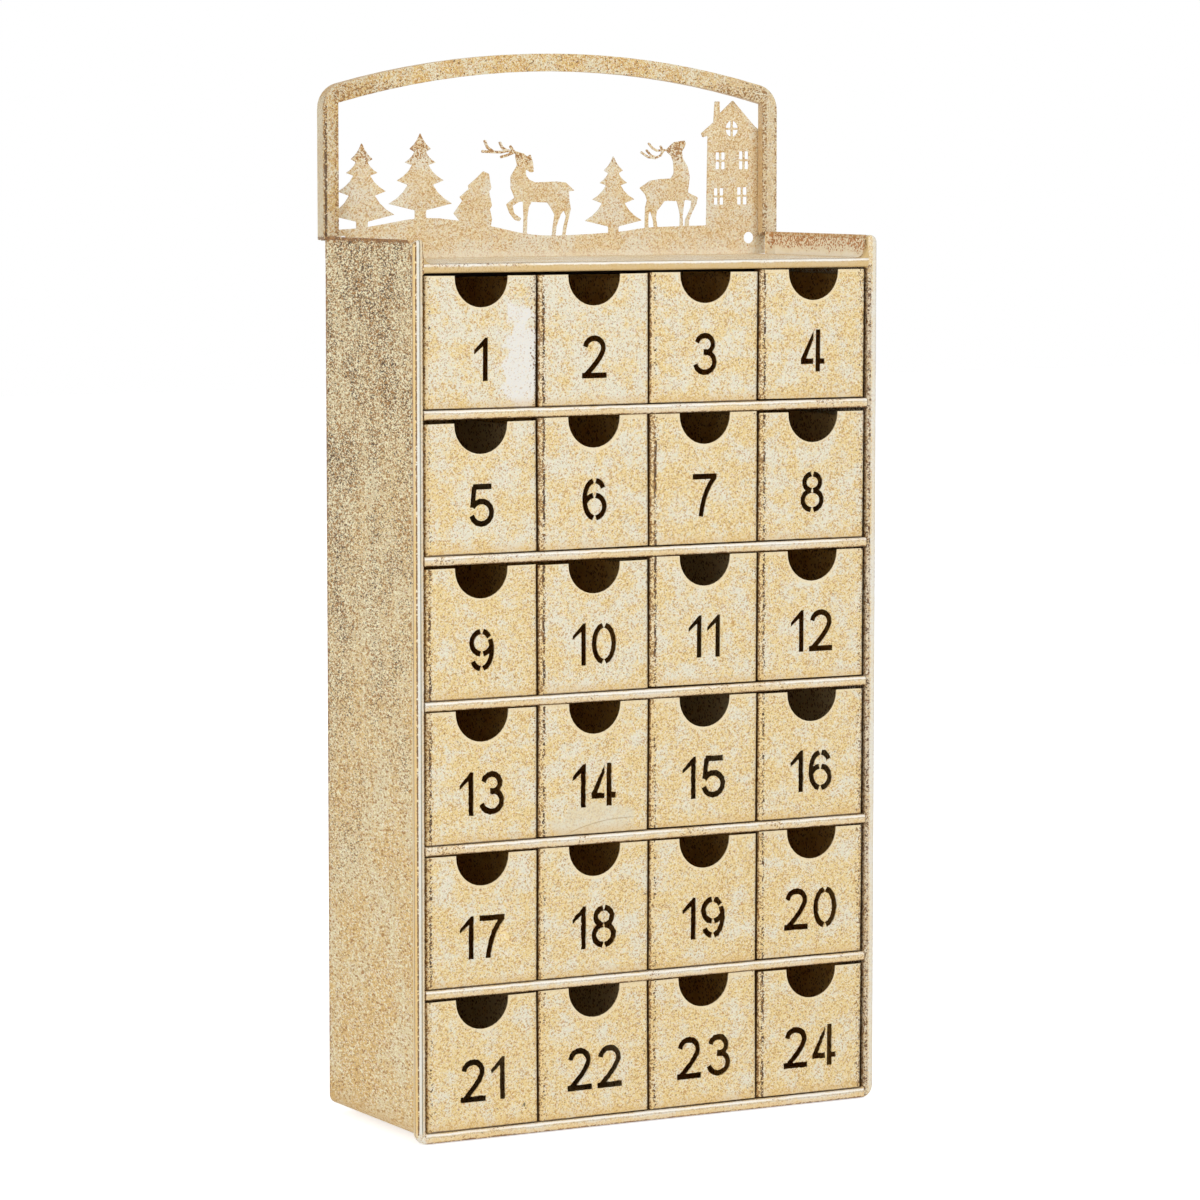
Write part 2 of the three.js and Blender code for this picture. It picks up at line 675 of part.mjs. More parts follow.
function digitOne() {
  const right = oneWidth / 2;
  const stemLeft = right - digitStroke;
  return [[
    [right - sideways("oneFlagTip"), halfDigitHeight], [right, halfDigitHeight],
    [right, -halfDigitHeight], [stemLeft, -halfDigitHeight],
    [stemLeft, halfDigitHeight - ups("oneFlagRoot")],
    [-right, halfDigitHeight - ups("oneFlagFoot")], [-right, halfDigitHeight - ups("oneFlagTop")],
  ]];
}

function digitTwo() {
  const radius = ups("twoHook");
  const hook = arcPoints(0, strokeZ - radius, strokeX - sideways("twoHook"), radius, 172, -28, 9);
  const neck = hook[hook.length - 1];
  const bend = [neck[0] - sideways("twoBend"), ups("twoBend")];
  const foot = [sideways("twoFoot") - strokeX, -strokeZ];
  return [
    cutStroke([...hook, ...curvePoints(neck, bend, foot, 4).slice(1)]),
    cutRectangle(-halfDigitWidth, halfDigitWidth, -halfDigitHeight, digitStroke - halfDigitHeight),
  ];
}

function digitThree() {
  const top = ups("threeTop");
  const bowl = ups("threeBowl");
  return [
    cutStroke(arcPoints(0, strokeZ - top, strokeX - sideways("threeTop"), top, 168, -95, 10)),
    cutStroke(arcPoints(0, bowl - strokeZ, strokeX, bowl, 98, -168, 11)),
  ];
}

function digitFour() {
  const stemX = sideways("fourStem");
  const barLow = ups("fourBar") - strokeHalf;
  const barHigh = ups("fourBar") + strokeHalf;
  const stemLeft = stemX - strokeHalf;
  const barEnd = stemLeft - stencilGap;
  return [
    cutRectangle(stemLeft, stemX + strokeHalf, -halfDigitHeight, halfDigitHeight),
    cutRectangle(stemX, halfDigitWidth, barLow, barHigh),
    [
      [-halfDigitWidth, barLow], [barEnd, barLow], [barEnd, barHigh],
      [sideways("fourSlope"), barHigh], [barEnd, ups("fourSlope")], [barEnd, ups("fourPeak")],
      [-halfDigitWidth, barHigh],
    ],
  ];
}

function digitFive() {
  const bowl = ups("fiveBowl");
  const leftX = sideways("fiveLeft") - strokeX;
  const slant = sideways("fiveSlant");
  return [
    cutRectangle(leftX, strokeX, halfDigitHeight - digitStroke, halfDigitHeight),
    cutStroke([[leftX + slant, strokeZ], [slant - strokeX, ups("fiveNeck")]]),
    cutStroke(arcPoints(0, bowl - strokeZ, strokeX, bowl, 150, -166, 13)),
  ];
}

// Open loop with a bowl at its foot; each long arc is a pair of angles
function loopDigit(longArcs) {
  const bowl = ups("fiveBowl");
  const hook = ups("sixHook");
  const hookX = strokeX - sideways("sixHook");
  const skip = bridgeDeg(strokeX);
  const cuts = longArcs.map(([from, to]) => {
    return cutStroke(arcPoints(0, 0, strokeX, strokeZ, from, to, Math.ceil((to - from) / 20)));
  });
  cuts.push(cutStroke(arcPoints(0, strokeZ - hook, hookX, hook, 88 - skip, 14, 4)));
  cuts.push(cutStroke(arcPoints(0, bowl - strokeZ, strokeX, bowl, 90 + skip, 156, 4)));
  cuts.push(cutStroke(arcPoints(0, bowl - strokeZ, strokeX, bowl, 90 - skip, skip - 90, 8)));
  return cuts;
}

function digitSix() {
  const skip = bridgeDeg(strokeX);
  return loopDigit([[90 + skip, 270 - skip]]);
}

function digitSeven() {
  const lowZ = halfDigitHeight - digitStroke;
  const knee = [sideways("sevenKnee"), ups("sevenKnee")];
  const foot = [sideways("sevenFoot"), -halfDigitHeight];
  return [
    cutRectangle(-halfDigitWidth, halfDigitWidth, lowZ, halfDigitHeight),
    cutStroke(curvePoints([strokeX, lowZ + strokeHalf / 2], knee, foot, 5)),
  ];
}

function digitEight() {
  const top = ups("eightTop");
  const bowl = ups("eightBowl");
  const topX = strokeX - sideways("eightTop");
  const skip = bridgeDeg(strokeX);
  return [[skip - 90, 90 - skip], [90 + skip, 270 - skip]].flatMap(([from, to]) => [
    cutStroke(arcPoints(0, strokeZ - top, topX, top, from, to, 7)),
    cutStroke(arcPoints(0, bowl - strokeZ, strokeX, bowl, from, to, 7)),
  ]);
}

// The six turned upside down, with one more bridge across its long arc
function digitNine() {
  const skip = bridgeDeg(strokeX);
  const turned = loopDigit([[90 + skip, 214], [222, 270 - skip]]);
  return turned.map((outline) => outline.map(([a, b]) => [-a, -b]));
}

const digits = [
  digitZero, digitOne, digitTwo, digitThree, digitFour,
  digitFive, digitSix, digitSeven, digitEight, digitNine,
];

function digitAdvance(digit) {
  return digit === 1 ? oneWidth : digitWidth;
}

// Cut outlines of a whole number, centred on x and z
function numeralCuts(number, x, z) {
  const figures = [...String(number)].map(Number);
  const widths = figures.map(digitAdvance);
  const total = widths.reduce((sum, width) => sum + width, digitSpacing * (figures.length - 1));
  let left = x - total / 2;
  return figures.flatMap((digit, index) => {
    const centre = left + widths[index] / 2;
    left += widths[index] + digitSpacing;
    return digits[digit]().map((outline) => outline.map(([a, b]) => [centre + a, z + b]));
  });
}

// Drawer places, numbered from the top left
function drawerPlace(number) {
  const column = (number - 1) % columnCount;
  const rowFromTop = Math.floor((number - 1) / columnCount);
  return {
    x: (column - (columnCount - 1) / 2) * drawerPitch,
    z: firstFloorZ + (rowCount - 1 - rowFromTop) * rowPitch + seamGap,
  };
}

// Drawer front: bent sheet with side returns, finger notch and numeral
function drawerFront(number) {
  const { x, z } = drawerPlace(number);
  const half = drawerFrontWidth / 2;
  const inner = half - drawerSheet;
  const returnY = drawerFrontY + drawerReturn;
  const innerY = drawerFrontY + drawerSheet;
  const topZ = z + drawerFrontHeight;
  const innerRadius = drawerEdgeRadius - drawerSheet;
  const profile = roundedOutline(
    [
      [x - half, returnY, 0],
      [x - half, drawerFrontY, drawerEdgeRadius],
      [x + half, drawerFrontY, drawerEdgeRadius],
      [x + half, returnY, 0],
      [x + inner, returnY, 0],
      [x + inner, innerY, innerRadius],
      [x - inner, innerY, innerRadius],
      [x - inner, returnY, 0],
    ],
    3,
  );
  const notchZ = topZ + notchRadius - notchDepth;
  const notch = [
    [x + notchRadius, topZ + cutMargin],
    [x - notchRadius, topZ + cutMargin],
    ...arcPoints(x, notchZ, notchRadius, notchRadius, 180, 360, 16),
  ];
  const cutFrontY = drawerFrontY - cutMargin;
  const cutBackY = innerY + cutMargin;
  let solid = heightPrism(profile, z, topZ).subtract(platePrism(notch, cutFrontY, cutBackY));
  numeralCuts(number, x, topZ - digitCentreDrop).forEach((outline) => {
    solid = solid.subtract(platePrism(outline, cutFrontY, cutBackY));
  });
  return solid;
}

// Drawer tray: bottom, two sides and back, open towards the front sheet
function drawerTray(number) {
  const { x, z } = drawerPlace(number);
  const half = drawerFrontWidth / 2 - drawerSheet - seamGap;
  const trayFrontY = drawerFrontY + drawerEdgeRadius;
  const inner = half - drawerSheet;
  const floorZ = z + drawerSheet;
  const wallTopZ = z + drawerWallHeight;
  const insideFrontY = trayFrontY - cutMargin;
  const insideBackY = drawerBackY - drawerSheet;
  const inside = block(
    x - inner, x + inner, insideFrontY, insideBackY, floorZ, wallTopZ + cutMargin,
  );
  return block(x - half, x + half, trayFrontY, drawerBackY, z, wallTopZ).subtract(inside);
}

// The whole calendar
function build() {
  const calendar = new THREE.Group();
  calendar.name = "advent_calendar";
  calendar.add(toMesh(cabinetShell(), "cabinet_shell", shellPaint));
  calendar.add(toMesh(backPanel(), "back_panel", backPaint));
  calendar.add(toMesh(frontFrame(), "front_frame", framePaint));
  for (let row = 1; row < rowCount; row += 1) {
    calendar.add(toMesh(shelf(row), `shelf_${row}`, shelfPaint));
  }
  calendar.add(toMesh(trayFloor(), "tray_floor", trayFloorPaint));
  calendar.add(toMesh(crownFrame(), "crown_frame", crownPaint));
  calendar.add(toMesh(sceneSheet(), "scene_sheet", scenePaint));
  for (let number = 1; number <= rowCount * columnCount; number += 1) {
    const label = String(number).padStart(2, "0");
    calendar.add(toMesh(drawerFront(number), `drawer_${label}_front`, drawerFrontPaint));
    calendar.add(toMesh(drawerTray(number), `drawer_${label}_tray`, drawerTrayPaint));
  }
  return calendar;
}

export default build();
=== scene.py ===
import json
import math

import bmesh
import bpy
from mathutils import Matrix, Vector, noise

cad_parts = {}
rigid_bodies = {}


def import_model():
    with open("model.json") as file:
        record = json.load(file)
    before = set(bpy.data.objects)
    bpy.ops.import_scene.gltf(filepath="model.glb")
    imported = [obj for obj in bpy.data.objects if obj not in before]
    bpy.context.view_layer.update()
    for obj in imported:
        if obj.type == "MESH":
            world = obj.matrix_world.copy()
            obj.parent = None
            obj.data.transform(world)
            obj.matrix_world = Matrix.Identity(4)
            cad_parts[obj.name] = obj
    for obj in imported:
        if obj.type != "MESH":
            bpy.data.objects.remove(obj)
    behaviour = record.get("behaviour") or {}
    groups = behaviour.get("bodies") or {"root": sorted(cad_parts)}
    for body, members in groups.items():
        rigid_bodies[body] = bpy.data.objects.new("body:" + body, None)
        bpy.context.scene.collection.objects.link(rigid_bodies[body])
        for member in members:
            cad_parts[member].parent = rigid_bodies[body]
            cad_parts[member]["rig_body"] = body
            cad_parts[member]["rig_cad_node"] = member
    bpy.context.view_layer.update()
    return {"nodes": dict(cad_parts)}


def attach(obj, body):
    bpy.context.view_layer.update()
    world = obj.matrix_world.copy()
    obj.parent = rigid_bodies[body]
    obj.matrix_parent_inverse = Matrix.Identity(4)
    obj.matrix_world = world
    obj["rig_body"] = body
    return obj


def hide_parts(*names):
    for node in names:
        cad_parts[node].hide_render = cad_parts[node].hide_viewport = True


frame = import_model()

scene = bpy.context.scene
mm = 0.001
print("frame loaded:", len(frame["nodes"]), "nodes")

# Sizes that the pieces share, in millimetres
cabinet = {
    "halfWidth": 120.0, "floorZ": 4.5, "footGap": 0.3, "rowPitch": 65.0, "barHeight": 4.2,
    "drawerPitch": 57.4, "drawerWidth": 56.4, "drawerHeight": 59.0, "columns": 4, "rows": 6,
    "notchRadius": 13.3, "notchDepth": 14.1,
}
mergeDistance = 1e-6
flatAngle = math.radians(1.0)


# Small modelling helpers
def selectOnly(obj):
    bpy.ops.object.select_all(action="DESELECT")
    obj.select_set(True)
    bpy.context.view_layer.objects.active = obj


def applyModifier(obj, kind, name, **settings):
    selectOnly(obj)
    modifier = obj.modifiers.new(name, kind)
    for key, value in settings.items():
        setattr(modifier, key, value)
    bpy.ops.object.modifier_apply(modifier=modifier.name)


def evenNormals(obj):
    # large faces shade flat, and the narrow rims take the turn
    applyModifier(obj, "WEIGHTED_NORMAL", "evenNormals", mode="FACE_AREA", weight=50, keep_sharp=True)


def mergeDoubles(obj, distance, joinFlat):
    selectOnly(obj)
    bpy.ops.object.mode_set(mode="EDIT")
    bpy.ops.mesh.select_all(action="SELECT")
    bpy.ops.mesh.remove_doubles(threshold=distance)
    if joinFlat:
        bpy.ops.mesh.dissolve_limited(angle_limit=flatAngle)
    bpy.ops.mesh.normals_make_consistent(inside=False)
    bpy.ops.object.mode_set(mode="OBJECT")


def frontLoops(nodeName):
    # closed outlines of a flat sheet's front face, as lists of (x, z) in metres, and the sheet's depths
    mesh = bmesh.new()
    mesh.from_mesh(frame["nodes"][nodeName].data)
    bmesh.ops.remove_doubles(mesh, verts=mesh.verts, dist=mergeDistance)
    mesh.normal_update()
    facesFront = -0.99
    following = {}
    for face in mesh.faces:
        if face.normal.y > facesFront:
            continue
        for loop in face.loops:
            other = [linked for linked in loop.edge.link_faces if linked is not face][0]
            if other.normal.y > facesFront:
                following[loop.vert.index] = (loop.edge.other_vert(loop.vert).index, loop.vert.co.copy())
    loops = []
    while following:
        here = next(iter(following))
        outline = []
        while here in following:
            here, place = following.pop(here)
            outline.append(Vector((place.x, place.z)))
        loops.append(outline)
    depths = [vertex.co.y for vertex in mesh.verts]
    mesh.free()
    return loops, min(depths), max(depths)


def roundCorners(outline, reach, sharp):
    # cuts each corner that turns by more than sharp degrees into a short arc
    smallestCut = 0.05 * mm
    rounded = []
    for index, corner in enumerate(outline):
        before = outline[index - 1] - corner
        after = outline[(index + 1) % len(outline)] - corner
        turn = 180.0 - math.degrees(before.angle(after, 0.0))
        cut = min(reach * mm, before.length * 0.4, after.length * 0.4)
        if turn < sharp or cut < smallestCut:
            rounded.append(corner)
            continue
        first = corner + before.normalized() * cut
        last = corner + after.normalized() * cut
        for part in (0.0, 0.33, 0.67, 1.0):
            rounded.append(first * (1 - part) ** 2 + corner * 2 * part * (1 - part) + last * part ** 2)
    return rounded


def cutSheet(nodeName, pieceName, look):
    # a thin sheet cut out along the node's outlines, with soft rims
    loops, low, high = frontLoops(nodeName)
    rim = look["rim"] * mm
    data = bpy.data.curves.new(pieceName, "CURVE")
    data.dimensions = "2D"
    data.fill_mode = "BOTH"
    data.extrude = (high - low) / 2 - rim
    data.bevel_depth = rim
    data.bevel_resolution = look["steps"]
    data.offset = -rim if look["fullSize"] else 0.0
    for outline in loops:
        points = roundCorners(outline, look["corner"], look["sharp"])
        spline = data.splines.new("POLY")
        spline.points.add(len(points) - 1)
        for point, place in zip(spline.points, points):
            point.co = (place.x, place.y, 0.0, 1.0)
        spline.use_cyclic_u = True
    obj = bpy.data.objects.new(pieceName, data)
    scene.collection.objects.link(obj)
    selectOnly(obj)
    bpy.ops.object.convert(target="MESH")
    obj = bpy.context.view_layer.objects.active
    upright = Matrix.Rotation(math.radians(90), 4, "X")
    obj.data.transform(Matrix.Translation((0, (low + high) / 2, 0)) @ upright)
    mergeDoubles(obj, 2 * mergeDistance, False)
    bpy.ops.object.shade_smooth_by_angle(angle=math.radians(40))
    evenNormals(obj)
    return obj


def cleanCopy(nodeName, pieceName):
    # a piece that starts from the node's own solid, with its doubles merged and flat faces joined
    obj = frame["nodes"][nodeName].copy()
    obj.data = frame["nodes"][nodeName].data.copy()
    obj.name = pieceName
    obj.data.name = pieceName
    obj.parent = None
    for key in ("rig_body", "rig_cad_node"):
        if key in obj:
            del obj[key]
    scene.collection.objects.link(obj)
    obj.data.materials.clear()
    mergeDoubles(obj, mergeDistance, True)
    return obj


def softenEdges(obj, edge):
    angle = math.radians(edge["angle"])
    applyModifier(obj, "BEVEL", "softEdges", width=edge["width"] * mm, segments=edge["segments"],
                  limit_method="ANGLE", angle_limit=angle, harden_normals=False, miter_outer="MITER_ARC")
    selectOnly(obj)
    bpy.ops.object.shade_smooth_by_angle(angle=angle)
    evenNormals(obj)


def finishPiece(obj, nodeName, body, material):
    obj.data.materials.clear()
    obj.data.materials.append(material)
    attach(obj, body)
    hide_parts(nodeName)


# Material helpers; place holds an object's own coordinates in millimetres
def colour(red, green, blue):
    # written as seen on screen, 0 to 255
    def linear(value):
        value /= 255.0
        return value / 12.92 if value <= 0.04045 else ((value + 0.055) / 1.055) ** 2.4
    return (linear(red), linear(green), linear(blue), 1.0)


def startMaterial(name):
    material = bpy.data.materials.new(name)
    material.use_nodes = True
    tree = material.node_tree
    shader = tree.nodes["Principled BSDF"]
    coordinates = tree.nodes.new("ShaderNodeTexCoord")
    scaled = tree.nodes.new("ShaderNodeMapping")
    scaled.inputs["Scale"].default_value = (1 / mm, 1 / mm, 1 / mm)
    tree.links.new(coordinates.outputs["Object"], scaled.inputs["Vector"])
    split = tree.nodes.new("ShaderNodeSeparateXYZ")
    tree.links.new(scaled.outputs["Vector"], split.inputs["Vector"])
    place = {"v": scaled.outputs["Vector"]}
    for axis in "xyz":
        place[axis] = split.outputs[axis.upper()]
    return material, tree, shader, place


def plug(tree, socket, value):
    # links another node's output, or writes a constant
    if hasattr(value, "is_linked"):
        tree.links.new(value, socket)
    else:
        socket.default_value = value


def calc(tree, operation, first, second=None):
    node = tree.nodes.new("ShaderNodeMath")
    node.operation = operation
    plug(tree, node.inputs[0], first)
    if second is not None:
        plug(tree, node.inputs[1], second)
    return node.outputs["Value"]


def times(tree, *values):
    result = values[0]
    for value in values[1:]:
        result = calc(tree, "MULTIPLY", result, value)
    return result


def distance(tree, across, up):
    # length of two offsets
    return calc(tree, "SQRT", calc(tree, "ADD", times(tree, across, across), times(tree, up, up)))


def fade(tree, value, low, high):
    # 0 at low, 1 at high, smooth between; low may be above high
    node = tree.nodes.new("ShaderNodeMapRange")
    node.interpolation_type = "SMOOTHSTEP"
    plug(tree, node.inputs["Value"], value)
    plug(tree, node.inputs["From Min"], low)
    plug(tree, node.inputs["From Max"], high)
    return node.outputs["Result"]


def band(tree, value, centre, halfWidth, soft):
    # 1 within halfWidth of centre, fading over soft
    away = calc(tree, "ABSOLUTE", calc(tree, "SUBTRACT", value, centre))
    return fade(tree, away, halfWidth + soft, halfWidth)


def outerSide(tree, place):
    # distance from the middle, left or right
    return calc(tree, "ABSOLUTE", place["x"])


def placed(tree, vector, shift, stretch):
    mapping = tree.nodes.new("ShaderNodeMapping")
    mapping.inputs["Location"].default_value = shift
    mapping.inputs["Scale"].default_value = stretch
    tree.links.new(vector, mapping.inputs["Vector"])
    return mapping.outputs["Vector"]


def grain(tree, vector, scale, detail=3.0, roughness=0.6, shift=(0, 0, 0), stretch=(1, 1, 1)):
    # soft noise around 0.5, scale in waves per millimetre
    node = tree.nodes.new("ShaderNodeTexNoise")
    node.inputs["Scale"].default_value = scale
    node.inputs["Detail"].default_value = detail
    node.inputs["Roughness"].default_value = roughness
    tree.links.new(placed(tree, vector, shift, stretch), node.inputs["Vector"])
    return node.outputs["Fac"]


def sway(tree, value, wave, width):
    # the value, moved to both sides of itself by the noise wave
    return calc(tree, "ADD", value, times(tree, calc(tree, "SUBTRACT", wave, 0.5), width))


def cells(tree, vector, scale, shift, stretch):
    # two random values from 0 to 1 for each small cell
    node = tree.nodes.new("ShaderNodeTexVoronoi")
    node.inputs["Scale"].default_value = scale
    tree.links.new(placed(tree, vector, shift, stretch), node.inputs["Vector"])
    split = tree.nodes.new("ShaderNodeSeparateColor")
    tree.links.new(node.outputs["Color"], split.inputs["Color"])
    return split.outputs["Red"], split.outputs["Green"]


def blendColour(tree, amount, first, second):
    node = tree.nodes.new("ShaderNodeMix")
    node.data_type = "RGBA"
    plug(tree, node.inputs["Factor"], amount)
    plug(tree, node.inputs["A"], first)
    plug(tree, node.inputs["B"], second)
    return node.outputs["Result"]


def grains(tone, scale, shift, strength, other=None, stretch=(1, 1, 1)):
    # one layer of specks: tone (or a range up to other), cells per millimetre, pattern offset
    return {
        "tone": tone, "other": other, "scale": scale, "shift": shift, "strength": strength,
        "stretch": stretch,
    }


def shade(tree, base, tone, *amounts):
    # the base, tinted by the product of the amounts
    return blendColour(tree, times(tree, *amounts), base, tone)


def specks(tree, place, base, layer, *amounts):
    # grains over the base; the product of the amounts is the part of all grains that shows
    chance, mix = cells(tree, place["v"], layer["scale"], layer["shift"], layer["stretch"])
    tone = layer["tone"]
    if layer["other"] is not None:
        tone = blendColour(tree, mix, tone, layer["other"])
    over = calc(tree, "SUBTRACT", times(tree, *amounts), chance)
    return blendColour(tree, times(tree, fade(tree, over, 0.0, 0.04), layer["strength"]), base, tone)


# Antique paint that all sheet pieces share
paint = {
    "gold": colour(235, 210, 150), "white": colour(231, 225, 203),
    "tan": colour(196, 160, 88), "rust": colour(188, 130, 72), "tanAmount": 0.22, "tanStrength": 0.68,
    "pale": colour(244, 242, 208), "cream": colour(244, 228, 214), "paleAmount": 0.26, "paleStrength": 0.7,
    "dark": colour(104, 68, 30), "darkAmount": 0.028, "darkStrength": 0.9,
    "patchScale": 0.1, "patchLow": 0.42, "patchHigh": 0.62, "ragged": 0.16,
    "stretch": (1, 1, 1), "grainStretch": (1, 1, 1),
    "metallic": 0.1, "roughSpread": 0.24, "bumpStrength": 0.5, "bumpDistance": 0.6 * mm,
    "fineHeight": 0.12, "broadHeight": 0.9,
}


def paintBase(tree, place, look, patch=None, patchTone=None):
    # clouds of white and of gold whose borders break up into grains
    wide = look["grainStretch"]
    broad = grain(tree, place["v"], look["patchScale"], 5.0, 0.62, stretch=look["stretch"])
    ragged = calc(tree, "SUBTRACT", cells(tree, place["v"], 1.3, (31, 7, 19), (1, 1, 1))[0], 0.5)
    mixed = calc(tree, "ADD", broad, times(tree, ragged, look["ragged"]))
    if "balance" in look:
        mixed = calc(tree, "ADD", mixed, look["balance"])
    white = fade(tree, mixed, look["patchLow"], look["patchHigh"])
    base = blendColour(tree, white, look["gold"], look["white"])
    # fewer brown grains in the white and in the patch
    calm = calc(tree, "SUBTRACT", 1.0, times(tree, white, 0.3))
    if patch is not None:
        base = blendColour(tree, patch, base, patchTone)
        calm = times(tree, calm, calc(tree, "SUBTRACT", 1.0, times(tree, patch, 0.6)))
    coarseTan = grains(look["tan"], 1.5, (5, 90, 3), look["tanStrength"], look["rust"], wide)
    paleLayer = grains(look["pale"], 1.8, (51, 3, 77), look["paleStrength"], look["cream"], wide)
    fineTan = grains(look["tan"], 2.3, (25, 9, 43), look["tanStrength"], look["rust"], wide)
    darkLayer = grains(look["dark"], 1.7, (9, 33, 2), look["darkStrength"], None, wide)
    base = specks(tree, place, base, coarseTan, calm, look["tanAmount"])
    base = specks(tree, place, base, paleLayer, look["paleAmount"])
    base = specks(tree, place, base, fineTan, calm, look["tanAmount"] * 0.8)
    return specks(tree, place, base, darkLayer, calm, look["darkAmount"])


def closePaint(tree, shader, place, base, roughness):
    # roughness spreads evenly about its value, and a low relief bumps the surface
    spread = paint["roughSpread"]
    plug(tree, shader.inputs["Base Color"], base)
    uneven = times(tree, grain(tree, place["v"], 0.35, shift=(3, 3, 9)), spread)
    plug(tree, shader.inputs["Roughness"], calc(tree, "ADD", uneven, roughness - spread / 2))
    shader.inputs["Metallic"].default_value = paint["metallic"]
    fine = times(tree, grain(tree, place["v"], 1.1, 3.0, 0.65, (8, 1, 2)), paint["fineHeight"])
    broad = times(tree, grain(tree, place["v"], 0.035, 2.0, 0.5, (1, 8, 4)), paint["broadHeight"])
    bump = tree.nodes.new("ShaderNodeBump")
    bump.inputs["Strength"].default_value = paint["bumpStrength"]
    bump.inputs["Distance"].default_value = paint["bumpDistance"]
    plug(tree, bump.inputs["Height"], calc(tree, "ADD", fine, broad))
    tree.links.new(bump.outputs["Normal"], shader.inputs["Normal"])


# Drawer fronts: u and v run across and up from a drawer's own lower left corner
drawerTones = {
    "patch": colour(236, 233, 226), "patchTop": colour(234, 231, 224), "scraped": colour(226, 216, 190),
    "scratch": colour(176, 144, 92), "nick": colour(60, 50, 26), "foot": colour(218, 180, 112),
    "lowerEdgeShade": colour(74, 46, 20), "rim": colour(243, 226, 186), "bend": colour(232, 202, 140),
    "turnedEdgeShade": colour(84, 52, 20),
}
drawerGrains = {
    "leftLine": grains(colour(40, 24, 6), 1.5, (9, 2, 70), 0.97, colour(86, 54, 18)),
    "leftBend": grains(colour(158, 112, 50), 1.6, (1, 2, 33), 0.85, colour(112, 76, 30)),
    "leftEdgeShade": grains(colour(70, 42, 12), 1.3, (1, 7, 3), 0.9, colour(176, 124, 56)),
    "rightBend": grains(colour(150, 104, 46), 1.5, (4, 22, 33), 0.85, colour(96, 62, 24)),
    "rightEdge": grains(colour(60, 36, 12), 1.5, (44, 2, 3), 0.95),
}
# where each fades from nothing to full, and the dark line's centre, half width and soft rim
drawerAt = {
    "foot": (5.5, 0.8), "lowerEdgeShade": (0.95, 0.6), "bend": (2.4, 1.4), "leftLine": (2.2, 0.35, 0.5),
    "leftBend": (4.2, 1.2), "leftEdgeShade": (0.9, 0.4), "rightBend": (51.5, 55.6), "rightEdge": (55.2, 55.8),
    "turnedEdgeShade": (-47.0, -46.4),
}
drawerMarks = {
    "patch": {"x": -66.5, "z": 350.0, "halfWidth": 9.5, "halfHeight": 23.0},
    "scraped": {"x": -30.0, "z": 141.0, "halfWidth": 20.0, "halfHeight": 8.0},
    "scratch": {"x": -12.5, "z": 57.4, "radius": 84.0},
    "nick": {"x": -65.0, "z": 13.5, "tall": 0.35},
}


def offsets(tree, place, spot):
    return calc(tree, "SUBTRACT", place["x"], spot["x"]), calc(tree, "SUBTRACT", place["z"], spot["z"])


def barePatch(tree, place, spot):
    # 1 inside an uneven patch
    across, up = offsets(tree, place, spot)
    across = calc(tree, "DIVIDE", across, spot["halfWidth"])
    up = calc(tree, "DIVIDE", up, spot["halfHeight"])
    away = sway(tree, distance(tree, across, up), grain(tree, place["v"], 0.16, 4.0, 0.65), 2.2)
    return fade(tree, away, 1.15, 0.85)


def readValue(tree, name):
    # a number that each drawer's mesh carries
    node = tree.nodes.new("ShaderNodeAttribute")
    node.attribute_type = "GEOMETRY"
    node.attribute_name = name
    return node.outputs["Fac"]


def drawerPlace(tree, place):
    pitch = cabinet["drawerPitch"]
    spacing = pitch - cabinet["drawerWidth"]
    across = calc(tree, "ADD", place["x"], (cabinet["columns"] * pitch - spacing) / 2)
    column = calc(tree, "FLOOR", calc(tree, "DIVIDE", calc(tree, "ADD", across, spacing / 2), pitch))
    up = calc(tree, "SUBTRACT", place["z"], cabinet["floorZ"] + cabinet["footGap"])
    row = calc(tree, "FLOOR", calc(tree, "DIVIDE", calc(tree, "ADD", up, 0.5), cabinet["rowPitch"]))
    u = calc(tree, "SUBTRACT", across, times(tree, column, pitch))
    v = calc(tree, "SUBTRACT", up, times(tree, row, cabinet["rowPitch"]))
    return u, v, column, row


def paintMarks(tree, place, base):
    # pale scraped place with a curved scratch low on drawer 14, and a dark nick on drawer 21
    scraped = times(tree, barePatch(tree, place, drawerMarks["scraped"]), 0.6)
    base = shade(tree, base, drawerTones["scraped"], scraped)
    ring = distance(tree, *offsets(tree, place, drawerMarks["scratch"]))
    scratch = band(tree, ring, drawerMarks["scratch"]["radius"], 0.1, 0.25)
    base = shade(tree, base, drawerTones["scratch"], scratch, scraped, 0.9)
    across, up = offsets(tree, place, drawerMarks["nick"])
    nick = calc(tree, "ADD", times(tree, across, across), times(tree, up, up, drawerMarks["nick"]["tall"]))
    return shade(tree, base, drawerTones["nick"], fade(tree, nick, 0.5, 0.1), 0.85)


def notchHighlight(tree, u, v):
    # 1 along the top edge and round the finger notch, where the rim is lightened as a painted highlight
    radius, top = cabinet["notchRadius"], cabinet["drawerHeight"]
    across = calc(tree, "SUBTRACT", u, cabinet["drawerWidth"] / 2)
    up = calc(tree, "SUBTRACT", v, top + radius - cabinet["notchDepth"])
    rim = fade(tree, distance(tree, across, up), radius + 1.1, radius + 0.4)
    return calc(tree, "MAXIMUM", rim, fade(tree, v, top - 1.0, top - 0.5))


